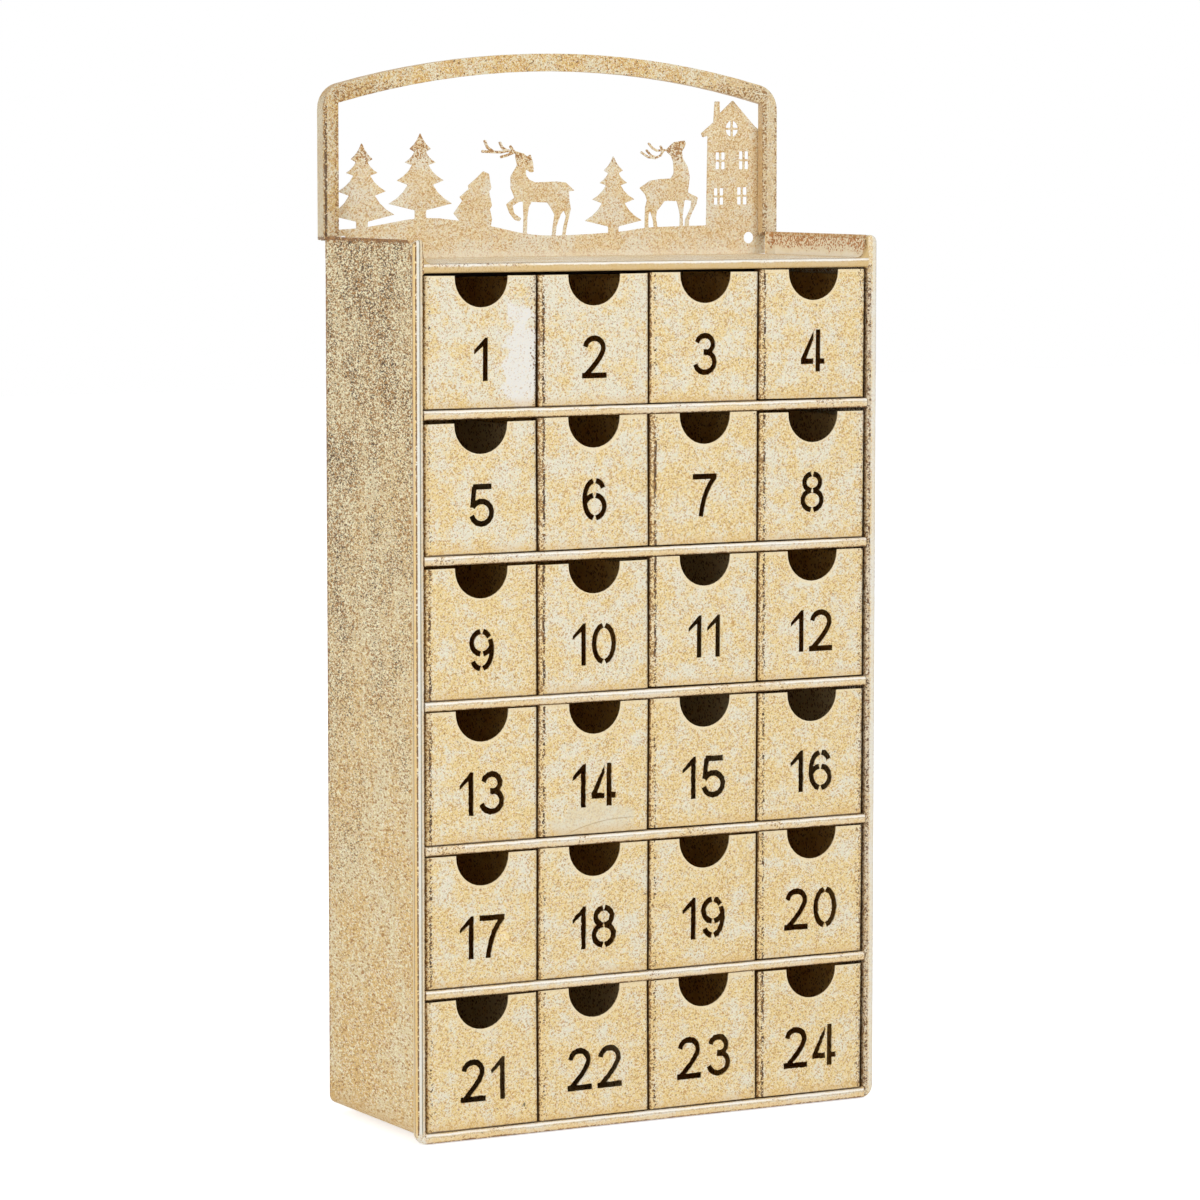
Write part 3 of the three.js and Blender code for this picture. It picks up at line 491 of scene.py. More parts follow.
def wearAndShadeLeft(tree, place, base, u):
    # a broken dark line of wear where the flat face begins, with browner grain beside it, and painted shade at
    # the outer left edge
    wear = readValue(tree, "leftWear")
    patchy = fade(tree, grain(tree, place["v"], 0.06, 3.0, 0.7, (40, 2, 9)), 0.32, 0.6)
    wavy = sway(tree, u, grain(tree, place["v"], 0.2, 2.0, 0.5, (4, 12, 9)), 1.6)
    line = times(tree, band(tree, wavy, *drawerAt["leftLine"]), patchy, wear)
    base = specks(tree, place, base, drawerGrains["leftLine"], line)
    beside = calc(tree, "ADD", times(tree, wear, 0.34), 0.08)
    bend = times(tree, fade(tree, u, *drawerAt["leftBend"]), beside)
    base = specks(tree, place, base, drawerGrains["leftBend"], bend)
    # dark grains at the outer left edge: painted shade
    edge = times(tree, fade(tree, u, *drawerAt["leftEdgeShade"]), 0.5)
    return specks(tree, place, base, drawerGrains["leftEdgeShade"], edge)


def wearRight(tree, place, base, u):
    wear = readValue(tree, "rightWear")
    bend = times(tree, fade(tree, u, *drawerAt["rightBend"]), times(tree, wear, 0.35))
    base = specks(tree, place, base, drawerGrains["rightBend"], bend)
    edge = times(tree, fade(tree, u, *drawerAt["rightEdge"]), times(tree, wear, 0.6))
    return specks(tree, place, base, drawerGrains["rightEdge"], edge)


def drawerPaint():
    material, tree, shader, place = startMaterial("drawerFrontPaint")
    u, v = drawerPlace(tree, place)[:2]
    balance = times(tree, calc(tree, "SUBTRACT", readValue(tree, "whiteShare"), 0.5), 0.13)
    # bare white patch beside the first numeral
    patch = times(tree, barePatch(tree, place, drawerMarks["patch"]), 0.92)
    base = paintBase(tree, place, dict(paint, balance=balance), patch, drawerTones["patch"])
    base = shade(tree, base, drawerTones["patchTop"], patch, 0.5)
    base = paintMarks(tree, place, base)
    # golden foot, and a dark line along the lower edge: painted shade where the drawer meets the bar below
    base = shade(tree, base, drawerTones["foot"], fade(tree, v, *drawerAt["foot"]), 0.45)
    wavy = calc(tree, "ADD", v, times(tree, grain(tree, place["v"], 0.35, 2.0, 0.5, (7, 7, 1)), 0.5))
    base = shade(tree, base, drawerTones["lowerEdgeShade"], fade(tree, wavy, *drawerAt["lowerEdgeShade"]), 0.8)
    # painted highlight along the top edge and round the notch
    base = shade(tree, base, drawerTones["rim"], notchHighlight(tree, u, v), 0.65)
    base = shade(tree, base, drawerTones["bend"], fade(tree, u, *drawerAt["bend"]), 0.45)
    base = wearAndShadeLeft(tree, place, base, u)
    base = wearRight(tree, place, base, u)
    # the turned edges behind the face are darkened: painted shade in the gaps between the drawers
    behind = fade(tree, place["y"], *drawerAt["turnedEdgeShade"])
    base = shade(tree, base, drawerTones["turnedEdgeShade"], behind, 0.85)
    closePaint(tree, shader, place, base, 0.5)
    return material


insideTones = {
    "low": colour(214, 168, 86), "high": colour(232, 196, 116), "grey": colour(214, 202, 170),
    "brownGrain": grains(colour(140, 92, 44), 1.2, (9, 9, 1), 0.8),
    "paleGrain": grains(colour(222, 184, 120), 1.3, (9, 19, 1), 0.8),
}


def drawerInsidePaint():
    # golden trays, and greyer ones by chance
    material, tree, shader, place = startMaterial("drawerInsidePaint")
    column, row = drawerPlace(tree, place)[2:]
    join = tree.nodes.new("ShaderNodeCombineXYZ")
    plug(tree, join.inputs["X"], column)
    plug(tree, join.inputs["Y"], row)
    chance = tree.nodes.new("ShaderNodeTexWhiteNoise")
    chance.noise_dimensions = "2D"
    tree.links.new(join.outputs["Vector"], chance.inputs["Vector"])
    cloud = fade(tree, grain(tree, place["v"], 0.09, 4.0), 0.35, 0.7)
    base = blendColour(tree, cloud, insideTones["low"], insideTones["high"])
    base = shade(tree, base, insideTones["grey"], fade(tree, chance.outputs["Value"], 0.7, 0.8), 0.6)
    base = specks(tree, place, base, insideTones["brownGrain"], 0.2)
    base = specks(tree, place, base, insideTones["paleGrain"], 0.1)
    closePaint(tree, shader, place, base, 0.62)
    return material


# Left side: dense brown grain over cream, above, that thins out to gold at the foot
sideStretch = (1, 0.5, 1)
sideGrains = {
    "brown": grains(colour(152, 110, 44), 1.75, (3, 71, 6), 0.95, colour(174, 122, 58), sideStretch),
    "dark": grains(colour(88, 58, 8), 1.85, (8, 3, 26), 0.98, colour(122, 80, 26), sideStretch),
    "pale": grains(colour(250, 244, 206), 1.8, (15, 13, 4), 0.98, colour(244, 228, 194), sideStretch),
    "black": grains(colour(38, 24, 0), 1.8, (70, 3, 4), 0.98, colour(92, 60, 16), sideStretch),
    "looseBrown": grains(colour(170, 120, 52), 1.25, (7, 7, 7), 0.9, None, sideStretch),
    "loosePale": grains(colour(248, 240, 206), 1.3, (17, 7, 27), 0.85, None, sideStretch),
}
sideDensity = {"rearLean": 0.9, "cloudHeight": 430, "from": 75, "to": 420}


def leftDensity(tree, place):
    # thick above and towards the rear, in streaks that thin out towards the foot
    lean = calc(tree, "ADD", place["z"], times(tree, place["y"], sideDensity["rearLean"]))
    cloud = grain(tree, place["v"], 0.035, 4.0, 0.65, (2, 6, 1), (1, 1, 0.55))
    streaks = sway(tree, lean, cloud, sideDensity["cloudHeight"])
    return fade(tree, streaks, sideDensity["from"], sideDensity["to"])


def leftGrain(tree, place, base, dense):
    # the dark grains gather in clumps
    clump = fade(tree, grain(tree, place["v"], 0.075, 3.0, 0.65, (5, 9, 2), (1, 1, 0.6)), 0.4, 0.62)
    brown = times(tree, dense, calc(tree, "ADD", 0.38, times(tree, clump, 0.28)))
    dark = times(tree, dense, calc(tree, "ADD", 0.1, times(tree, clump, 0.24)))
    base = shade(tree, base, colour(218, 202, 162), dense, 0.8)
    base = specks(tree, place, base, sideGrains["brown"], brown)
    base = specks(tree, place, base, sideGrains["dark"], dark)
    base = specks(tree, place, base, sideGrains["pale"], dense, 0.3)
    return specks(tree, place, base, sideGrains["black"], dark)


# Shell: the left side, the bottom, and the right side with its worn inner face beside the tray
shellLook = dict(
    paint, patchScale=0.055, stretch=(1, 1, 0.6), gold=colour(227, 193, 124), white=colour(229, 213, 170),
    tanAmount=0.28, grainStretch=sideStretch,
)
shellTones = {
    "innerFace": colour(244, 236, 214), "scallops": colour(246, 240, 224), "topRight": colour(190, 146, 84),
    "foldLine": colour(112, 74, 34), "foot": colour(212, 174, 112),
}
shellGrains = {
    "rust": grains(colour(198, 130, 66), 1.3, (17, 3, 9), 0.9, colour(166, 108, 44)),
    "topEdge": grains(colour(104, 66, 24), 1.2, (5, 5, 55), 0.95, colour(168, 116, 52)),
    "rearEdge": grains(colour(120, 78, 38), 1.2, (2, 44, 8), 0.9, colour(160, 112, 60)),
}
shellAt = {
    "leftSide": (-100, -110), "rightFrom": (112, 116), "rightTo": (119.4, 119.1), "aboveTray": (392, 394),
    "rust": (399.0, 404.0), "scallops": (400.5, 398.5), "topRight": (403.0, 404.2), "topEdge": (403.6, 404.6),
    "foldLine": (-44.0, -44.5), "foldEnd": (119.0, 118.0), "rearEdge": (39.4, 41.6), "foot": (16.0, 5.0),
}


def wearInnerRight(tree, place, base):
    # inner face of the right side above the tray: rust above, white scallops below
    inner = fade(tree, place["x"], *shellAt["rightFrom"])
    inner = times(tree, inner, fade(tree, place["x"], *shellAt["rightTo"]))
    inner = times(tree, inner, fade(tree, place["z"], *shellAt["aboveTray"]))
    low = calc(tree, "ADD", place["z"], times(tree, grain(tree, place["v"], 0.16, shift=(3, 3, 3)), 7.0))
    base = shade(tree, base, shellTones["innerFace"], inner, 0.8)
    base = specks(tree, place, base, shellGrains["rust"], inner, fade(tree, low, *shellAt["rust"]), 0.5)
    base = shade(tree, base, shellTones["scallops"], inner, fade(tree, low, *shellAt["scallops"]), 0.7)
    topRight = times(tree, inner, fade(tree, place["z"], *shellAt["topRight"]), 0.5)
    return blendColour(tree, topRight, base, shellTones["topRight"])


def shellPaint():
    material, tree, shader, place = startMaterial("sideAndBottomPaint")
    base = paintBase(tree, place, shellLook)
    leftSide = fade(tree, place["x"], *shellAt["leftSide"])
    base = leftGrain(tree, place, base, times(tree, leftDensity(tree, place), leftSide))
    base = specks(tree, place, base, sideGrains["looseBrown"], leftSide, 0.1)
    base = specks(tree, place, base, sideGrains["loosePale"], leftSide, 0.14)
    base = wearInnerRight(tree, place, base)
    # dark edges: along the top, patina and painted shade under the rolled edge; worn down the front fold and
    # the rear edge; gold at the foot
    wavy = calc(tree, "ADD", place["z"], times(tree, grain(tree, place["v"], 0.25, shift=(3, 30, 3)), 1.2))
    topEdge = times(tree, fade(tree, wavy, *shellAt["topEdge"]), leftSide, 0.9)
    base = specks(tree, place, base, shellGrains["topEdge"], topEdge)
    foldLine = fade(tree, place["y"], *shellAt["foldLine"])
    foldLine = times(tree, foldLine, fade(tree, outerSide(tree, place), *shellAt["foldEnd"]), 0.85)
    base = blendColour(tree, foldLine, base, shellTones["foldLine"])
    rearEdge = times(tree, fade(tree, place["y"], *shellAt["rearEdge"]), leftSide, 0.6)
    base = specks(tree, place, base, shellGrains["rearEdge"], rearEdge)
    base = shade(tree, base, shellTones["foot"], fade(tree, place["z"], *shellAt["foot"]), 0.5)
    closePaint(tree, shader, place, base, 0.58)
    return material


# Front frame and shelves
frameLook = dict(
    paint, patchScale=0.07, gold=colour(234, 210, 162), white=colour(234, 227, 212), stretch=(0.6, 1, 0.6),
    tanAmount=0.2, tanStrength=0.5,
)
barTones = {
    "gold": colour(234, 202, 142), "wearAndHighlightLine": colour(248, 245, 236), "greyLine": colour(166, 156, 138),
    "seam": colour(128, 112, 84), "header": colour(214, 181, 120),
    "footGrain": grains(colour(96, 62, 24), 1.4, (6, 61, 1), 0.9, colour(160, 110, 56)),
    "wornGrain": grains(colour(166, 120, 66), 1.6, (6, 31, 14), 0.8, colour(120, 84, 44)),
}
# below: distance under a bar's upper edge; fades, or a band's centre, half width and soft rim
barAt = {
    "ends": (115.8, 114.6), "gold": (1.5, 2.9), "wearAndHighlightLine": (0.65, 0.3, 0.3), "greyLine": (1.5, 0.1, 0.25),
    "foot": (4.2, 0.25, 0.55), "seam": (394.15, 394.4), "header": (388.0, 389.0), "headerTop": (0.9, 1.8),
}
uprightTones = {
    "gold": colour(226, 188, 112), "whiteStrip": colour(238, 238, 230), "greyLine": colour(112, 114, 104),
    "cream": colour(228, 214, 186), "rightWhite": colour(234, 230, 216), "rightInnerShade": colour(176, 148, 106),
    "sideGold": colour(228, 204, 150), "brownLine": colour(134, 88, 38), "goldStrip": colour(232, 200, 136),
}
uprightGrains = {
    "darkLine": grains(colour(90, 58, 22), 1.4, (6, 1, 1), 0.95, colour(140, 96, 40)),
    "innerEdge": grains(colour(170, 120, 58), 1.3, (16, 1, 5), 0.9, colour(92, 60, 26)),
    "rightLine": grains(colour(104, 66, 44), 1.35, (6, 21, 1), 0.9, colour(70, 50, 32)),
    "rightDarkShade": grains(colour(62, 40, 16), 1.4, (26, 11, 1), 0.95, colour(120, 76, 36)),
    "rightPale": grains(colour(226, 214, 188), 1.5, (2, 11, 31), 0.85),
    "inside": grains(colour(104, 68, 34), 1.2, (60, 9, 1), 0.85, colour(156, 112, 62)),
}
# measured from an upright's outer edge, apart from the depths and heights
uprightAt = {
    "width": (5.2, 4.9), "leftFront": (-48.0, -48.5), "leftFoot": (2.5, 7.0),
    "gold": (1.0, 0.4), "darkLine": (0.95, 0.2, 0.25), "whiteStrip": (2.0, 0.45, 0.3),
    "greyLine": (2.9, 0.14, 0.3), "cream": (3.6, 0.3, 0.3), "innerEdge": (3.9, 4.5),
    "rightFront": (-47.8, -48.4), "rightLine": (0.1, 0.3, 0.3), "rightWhite": (1.5, 0.8, 0.4),
    "rightInnerShade": (2.9, 3.5), "rightTop": (392.0, 390.0),
    "sideFrom": (-119.3, -119.8), "sideTo": (-47.5, -47.3), "leftRim": (-118.9, -119.5),
    "brownLine": (-47.7, 0.2, 0.25), "goldStrip": (-48.6, 0.4, 0.3),
    "insideFrom": (-48.4, -47.4), "insideTo": (119.4, 118.8),
}


def paintBars(tree, place, base):
    # each cross bar: white line above, partly worn paint and partly a painted highlight on its rounded top; a
    # grey line of painted shade in the groove; gold below; dark and broken along its lower edge, patina and
    # painted shade over the gap
    inRow = calc(tree, "ADD", place["z"], cabinet["rowPitch"] - cabinet["floorZ"])
    inRow = calc(tree, "MODULO", inRow, cabinet["rowPitch"])
    below = calc(tree, "SUBTRACT", cabinet["rowPitch"], inRow)
    below = sway(tree, below, grain(tree, place["v"], 0.12, shift=(9, 1, 1)), 1.2)
    bars = fade(tree, outerSide(tree, place), *barAt["ends"])
    fresh = fade(tree, grain(tree, place["v"], 0.03, shift=(70, 1, 12)), 0.32, 0.5)
    base = shade(tree, base, barTones["gold"], fade(tree, below, *barAt["gold"]), bars, 0.5)
    # the white line is partly a painted highlight, the grey line painted shade of the groove
    for name, strength in (("wearAndHighlightLine", 0.8), ("greyLine", 0.35)):
        line = band(tree, below, *barAt[name])
        base = shade(tree, base, barTones[name], line, bars, fresh, strength)
    # dark grains along the lower edge: patina and painted shade over the gap below
    base = specks(tree, place, base, barTones["footGrain"], band(tree, below, *barAt["foot"]), bars, 0.85)
    base = specks(tree, place, base, barTones["wornGrain"], bars, fade(tree, fresh, 1.0, 0.0), 0.22)
    base = shade(tree, base, barTones["seam"], fade(tree, place["z"], *barAt["seam"]), bars, 0.6)
    header = times(tree, bars, fade(tree, place["z"], *barAt["header"]))
    header = times(tree, header, fade(tree, below, *barAt["headerTop"]), 0.75)
    return blendColour(tree, header, base, barTones["header"])


def paintLeftUpright(tree, place, base):
    # from its outer edge: gold, dark broken line, white, grey line, cream, brown
    edge = calc(tree, "ADD", place["x"], cabinet["halfWidth"])
    left = times(tree, fade(tree, edge, *uprightAt["width"]), fade(tree, place["y"], *uprightAt["leftFront"]))
    left = times(tree, left, fade(tree, place["z"], *uprightAt["leftFoot"]))
    base = shade(tree, base, uprightTones["gold"], fade(tree, edge, *uprightAt["gold"]), left, 0.75)
    darkLine = times(tree, band(tree, edge, *uprightAt["darkLine"]), left, 0.85)
    base = specks(tree, place, base, uprightGrains["darkLine"], darkLine)
    for name, strength in (("whiteStrip", 0.8), ("greyLine", 0.75), ("cream", 0.5)):
        base = shade(tree, base, uprightTones[name], band(tree, edge, *uprightAt[name]), left, strength)
    innerEdge = times(tree, fade(tree, edge, *uprightAt["innerEdge"]), left, 0.8)
    return specks(tree, place, base, uprightGrains["innerEdge"], innerEdge)


def paintRightUpright(tree, place, base):
    # from its outer edge: dark broken line, white, and beside the drawers a browner band with dark grain:
    # painted shade that stands for the upright's shaded inner side
    edge = calc(tree, "SUBTRACT", cabinet["halfWidth"], place["x"])
    right = fade(tree, edge, *uprightAt["width"])
    front = fade(tree, place["y"], *uprightAt["rightFront"])
    line = times(tree, band(tree, edge, *uprightAt["rightLine"]), right, front, 0.7)
    base = specks(tree, place, base, uprightGrains["rightLine"], line)
    white = band(tree, edge, *uprightAt["rightWhite"])
    base = shade(tree, base, uprightTones["rightWhite"], white, right, 0.6)
    # painted shade on the inner part of the upright
    inner = times(tree, fade(tree, edge, *uprightAt["rightInnerShade"]), right)
    inner = times(tree, inner, fade(tree, place["z"], *uprightAt["rightTop"]))
    base = shade(tree, base, uprightTones["rightInnerShade"], inner, 0.6)
    base = specks(tree, place, base, uprightGrains["rightDarkShade"], inner, 0.4)
    return specks(tree, place, base, uprightGrains["rightPale"], inner, 0.25)


def paintOuterLeft(tree, place, base):
    # outer side of the left upright: the left side's grain, up to a brown line and a gold strip
    outside = fade(tree, place["x"], *uprightAt["sideFrom"])
    outside = times(tree, outside, fade(tree, place["y"], *uprightAt["sideTo"]))
    sideBase = blendColour(tree, 0.7, base, uprightTones["sideGold"])
    sideBase = leftGrain(tree, place, sideBase, leftDensity(tree, place))
    base = blendColour(tree, outside, base, sideBase)
    onLeft = fade(tree, place["x"], *uprightAt["leftRim"])
    for name, strength in (("brownLine", 0.8), ("goldStrip", 0.35)):
        strip = band(tree, place["y"], *uprightAt[name])
        base = shade(tree, base, uprightTones[name], strip, onLeft, strength)
    return base


def framePaint(name):
    material, tree, shader, place = startMaterial(name)
    base = paintBase(tree, place, frameLook)
    base = paintBars(tree, place, base)
    base = paintLeftUpright(tree, place, base)
    base = paintRightUpright(tree, place, base)
    base = paintOuterLeft(tree, place, base)
    # faces that look back into the cabinet
    inside = fade(tree, place["y"], *uprightAt["insideFrom"])
    inside = times(tree, inside, fade(tree, outerSide(tree, place), *uprightAt["insideTo"]), 0.5)
    base = specks(tree, place, base, uprightGrains["inside"], inside)
    closePaint(tree, shader, place, base, 0.46)
    return material


# Crown
crownLook = dict(
    paint, patchScale=0.09, gold=colour(228, 198, 134), white=colour(228, 218, 186), tanAmount=0.36,
    tanStrength=0.8, darkAmount=0.07,
)
crownTones = {
    "right": colour(216, 204, 178), "left": colour(160, 134, 96), "leftWall": colour(214, 202, 174),
    "inner": colour(200, 158, 96),
    "rimGrain": grains(colour(120, 82, 34), 1.5, (31, 2, 8), 0.9, colour(166, 118, 58)),
    "bendGrain": grains(colour(84, 56, 28), 1.4, (3, 8, 8), 0.9),
    "footGrain": grains(colour(116, 78, 40), 1.2, (3, 2, 8), 0.85),
}
crownAt = {
    "right": (60, 118), "left": (-60, -118), "outerRim": (118.0, 119.4), "innerRim": (115.0, 114.2),
    "rimTop": (478, 470), "front": (43.4, 43.0), "behind": (43.0, 43.8), "leftWall": (-118.4, -119.2),
    "inner": (118.6, 118.0), "leftBend": (-119.0, 0.5, 0.4), "bendTop": (476, 440), "foot": (405.5, 403.6),
}


def crownPaint():
    material, tree, shader, place = startMaterial("crownPaint")
    base = paintBase(tree, place, crownLook)
    outer = outerSide(tree, place)
    for name, strength in (("right", 0.4), ("left", 0.22)):
        base = shade(tree, base, crownTones[name], fade(tree, place["x"], *crownAt[name]), strength)
    # brown grain along both rims of the uprights
    innerRim = fade(tree, outer, *crownAt["innerRim"])
    rims = calc(tree, "MAXIMUM", fade(tree, outer, *crownAt["outerRim"]), innerRim)
    rims = times(tree, rims, fade(tree, place["z"], *crownAt["rimTop"]))
    rims = times(tree, rims, fade(tree, place["y"], *crownAt["front"]), 0.4)
    base = specks(tree, place, base, crownTones["rimGrain"], rims)
    # walls behind the face: pale on the far left, brown inside the arch
    behind = fade(tree, place["y"], *crownAt["behind"])
    leftWall = times(tree, fade(tree, place["x"], *crownAt["leftWall"]), behind, 0.5)
    base = blendColour(tree, leftWall, base, crownTones["leftWall"])
    base = shade(tree, base, crownTones["inner"], behind, fade(tree, outer, *crownAt["inner"]), 0.4)
    leftBend = band(tree, place["x"], *crownAt["leftBend"])
    leftBend = times(tree, leftBend, fade(tree, place["z"], *crownAt["bendTop"]), 0.8)
    base = specks(tree, place, base, crownTones["bendGrain"], leftBend)
    foot = times(tree, fade(tree, place["z"], *crownAt["foot"]), 0.8)
    base = specks(tree, place, base, crownTones["footGrain"], foot)
    closePaint(tree, shader, place, base, 0.5)
    return material


# Winter scene
sceneLook = dict(
    paint, patchScale=0.07, gold=colour(230, 208, 164), white=colour(231, 223, 202), tanAmount=0.26,
    darkAmount=0.02,
)
sceneTones = {
    "foot": colour(238, 228, 206),
    "tipGrain": grains(colour(146, 98, 44), 1.5, (3, 61, 8), 0.9, colour(178, 126, 62)),
}
sceneAt = {"foot": (398.5, 395.5), "tips": (434.0, 444.0), "besideHouse": (84.0, 78.0)}


def scenePaint():
    material, tree, shader, place = startMaterial("scenePaint")
    base = paintBase(tree, place, sceneLook)
    base = shade(tree, base, sceneTones["foot"], fade(tree, place["z"], *sceneAt["foot"]), 0.5)
    # brown tips on the firs and antlers
    tips = fade(tree, place["z"], *sceneAt["tips"])
    tips = times(tree, tips, fade(tree, place["x"], *sceneAt["besideHouse"]), 0.45)
    base = specks(tree, place, base, sceneTones["tipGrain"], tips)
    closePaint(tree, shader, place, base, 0.55)
    return material


# Tray floor and back panel
trayFloorLook = dict(
    paint, patchScale=0.08, gold=colour(244, 226, 184), white=colour(246, 240, 224), tanAmount=0.26,
    tanStrength=0.8, darkAmount=0.04,
)
backLook = dict(paint, patchScale=0.04, gold=colour(208, 176, 122), white=colour(208, 198, 172), tanAmount=0.34)
backTones = {
    "inside": colour(58, 42, 24), "insideFrom": 40.7, "insideTo": 40.3,
    "grain": grains(colour(136, 100, 58), 1.1, (4, 4, 4), 0.8),
}


def trayFloorPaint():
    material, tree, shader, place = startMaterial("trayFloorPaint")
    closePaint(tree, shader, place, paintBase(tree, place, trayFloorLook), 0.55)
    return material


def backPaint():
    material, tree, shader, place = startMaterial("backPanelPaint")
    base = paintBase(tree, place, backLook)
    base = specks(tree, place, base, backTones["grain"], 0.12)
    # the face towards the drawers is dark: painted shade inside the cabinet
    inside = fade(tree, place["y"], backTones["insideFrom"], backTones["insideTo"])
    base = blendColour(tree, inside, base, backTones["inside"])
    closePaint(tree, shader, place, base, 0.62)
    return material


# Cabinet pieces: rims in millimetres, and degrees from which an edge is rounded
edges = {
    "shell": {"width": 0.2, "segments": 3, "angle": 35.0},
    "shelf": {"width": 0.2, "segments": 2, "angle": 40.0},
    "crown": {"width": 0.22, "segments": 2, "angle": 40.0},
    "plain": {"width": 0.15, "segments": 2, "angle": 35.0},
    "drawer": {"width": 0.14, "segments": 2, "angle": 40.0},
}


def dressNode(nodeName, pieceName, edge, material):
    obj = cleanCopy(nodeName, pieceName)
    softenEdges(obj, edge)
    finishPiece(obj, nodeName, "cabinet", material)


dressNode("cabinet_shell", "cabinetShell", edges["shell"], shellPaint())
dressNode("back_panel", "backPanel", edges["plain"], backPaint())
# the frame's front face is already smaller than its outline by its rounding
frameCutting = {"rim": 1.3, "steps": 4, "corner": 0.5, "sharp": 10.0, "fullSize": False}
frontFrame = cutSheet("front_frame", "frontFrame", frameCutting)
finishPiece(frontFrame, "front_frame", "cabinet", framePaint("frontFramePaint"))
shelfMaterial = framePaint("shelfPaint")
for row in range(1, cabinet["rows"]):
    dressNode("shelf_%d" % row, "shelf%d" % row, edges["shelf"], shelfMaterial)
dressNode("tray_floor", "trayFloor", edges["plain"], trayFloorPaint())
dressNode("crown_frame", "crownFrame", edges["crown"], crownPaint())
sceneCutting = {"rim": 0.1, "steps": 1, "corner": 0.45, "sharp": 28.0, "fullSize": True}
sceneFoot = {"below": 395.1, "lowered": 0.3}
sceneSheet = cutSheet("scene_sheet", "sceneSheet", sceneCutting)
# the sheet stands on the tray floor
for vertex in sceneSheet.data.vertices:
    if vertex.co.z < sceneFoot["below"] * mm:
        vertex.co.z -= sceneFoot["lowered"] * mm
finishPiece(sceneSheet, "scene_sheet", "cabinet", scenePaint())
print("cabinet pieces done")

# Drawers
# how each drawer hangs in its opening: raised by, room left above (both in mm), tilt in degrees
drawerFit = {
    1: (0.1, 1.35, -0.4), 2: (0.1, 1.45, 0.1), 3: (0.1, 1.25, -0.4), 4: (0.4, 0.75, -0.4),
    5: (0.1, 1.7, 0.4), 6: (0.45, 0.35, 0.4), 7: (0.35, 0.35, -0.1), 8: (0.25, 1.5, -0.4),
    9: (0.1, 1.35, 0.2), 10: (0.15, 1.65, 0.2), 11: (0.6, 0.5, -0.3), 12: (0.55, 0.7, -0.2),
    13: (0.1, 0.65, -0.1), 14: (0.25, 0.35, -0.4), 15: (0.5, 0.55, -0.4), 16: (0.15, 1.3, -0.3),
    17: (0.15, 0.8, -0.2), 18: (0.1, 0.5, -0.2), 19: (0.1, 0.9, -0.3), 20: (0.4, 0.6, -0.4),
    21: (0.1, 1.05, 0.4), 22: (0.25, 0.35, 0.4), 23: (0.3, 0.35, 0.4), 24: (0.25, 1.25, -0.4),
}
# how worn and how white (0 is golden) each drawer is, from 0 to 1; lightWear where none is given
drawerWear = {
    "leftWear": {
        2: 0.8, 4: 0.9, 6: 1.0, 7: 1.0, 8: 0.8, 9: 0.95, 10: 0.9, 11: 0.9, 12: 0.6, 13: 1.0, 14: 0.6,
        15: 0.5, 16: 0.5, 17: 0.7, 20: 0.5, 23: 0.4, 24: 1.0,
    },
    "rightWear": {1: 0.6, 4: 0.8, 8: 0.6, 12: 0.7, 16: 1.0, 20: 0.9, 24: 1.0},
    "whiteShare": {
        1: 0.95, 2: 1.0, 3: 0.55, 4: 0.45, 5: 0.55, 6: 0.65, 7: 0.25, 8: 0.5, 9: 0.15, 10: 0.7, 11: 0.5,
        12: 0.45, 13: 0.3, 14: 0.4, 15: 0.25, 16: 0.2, 17: 0.3, 18: 0.4, 19: 0.25, 20: 0.2, 21: 0.1,
        22: 0.2, 23: 0.1, 24: 0.2,
    },
}
lightWear = 0.2
# how the numerals are cut: the place that holds them, and the rougher cut of the lower rows
numeralCut = {
    "halfWidth": 20.5, "top": 25.5, "bottom": 49.0, "longEdge": 1.0, "step": 0.75, "wave": 0.9,
    "sheet": 0.6, "roughFrom": 13, "seed": 11,
    "clean": {"wider": 0.08, "uneven": 0.0}, "rough": {"wider": 0.15, "uneven": 0.32},
}


def drawerSpot(number):
    # a drawer's middle and foot, in millimetres
    column = (number - 1) % cabinet["columns"]
    row = cabinet["rows"] - 1 - (number - 1) // cabinet["columns"]
    centreX = (column - (cabinet["columns"] - 1) / 2) * cabinet["drawerPitch"]
    return centreX, cabinet["floorZ"] + row * cabinet["rowPitch"] + cabinet["footGap"]


def hangDrawer(obj, number):
    raised, room, tilt = drawerFit[number]
    tilt = math.radians(tilt)
    centreX, footZ = (value * mm for value in drawerSpot(number))
    tall = cabinet["drawerHeight"]
    clear = cabinet["rowPitch"] - cabinet["barHeight"] - cabinet["footGap"]
    stretch = (clear - raised - room) / tall
    centreZ = footZ + raised * mm + tall * mm / 2
    for vertex in obj.data.vertices:
        across = vertex.co.x - centreX
        up = (vertex.co.z - footZ) * stretch + raised * mm + footZ - centreZ
        vertex.co.x = centreX + across * math.cos(tilt) - up * math.sin(tilt)
        vertex.co.z = centreZ + across * math.sin(tilt) + up * math.cos(tilt)


def markWear(obj, number):
    for name, table in drawerWear.items():
        layer = obj.data.attributes.new(name, "FLOAT", "POINT")
        layer.data.foreach_set("value", [table.get(number, lightWear)] * len(obj.data.vertices))


def refillFlat(mesh, side, depth):
    # fills the flat face at this depth again, between its moved outlines
    flat = [face for face in mesh.faces if face.normal.y * side > 0.99
            and abs(face.calc_center_median().y - depth) < 0.05 * mm]
    outline = [edge for edge in mesh.edges if sum(face in flat for face in edge.link_faces) == 1]
    bmesh.ops.delete(mesh, geom=flat, context="FACES")
    bmesh.ops.triangle_fill(mesh, use_beauty=True, use_dissolve=False, edges=outline, normal=(0, side, 0))


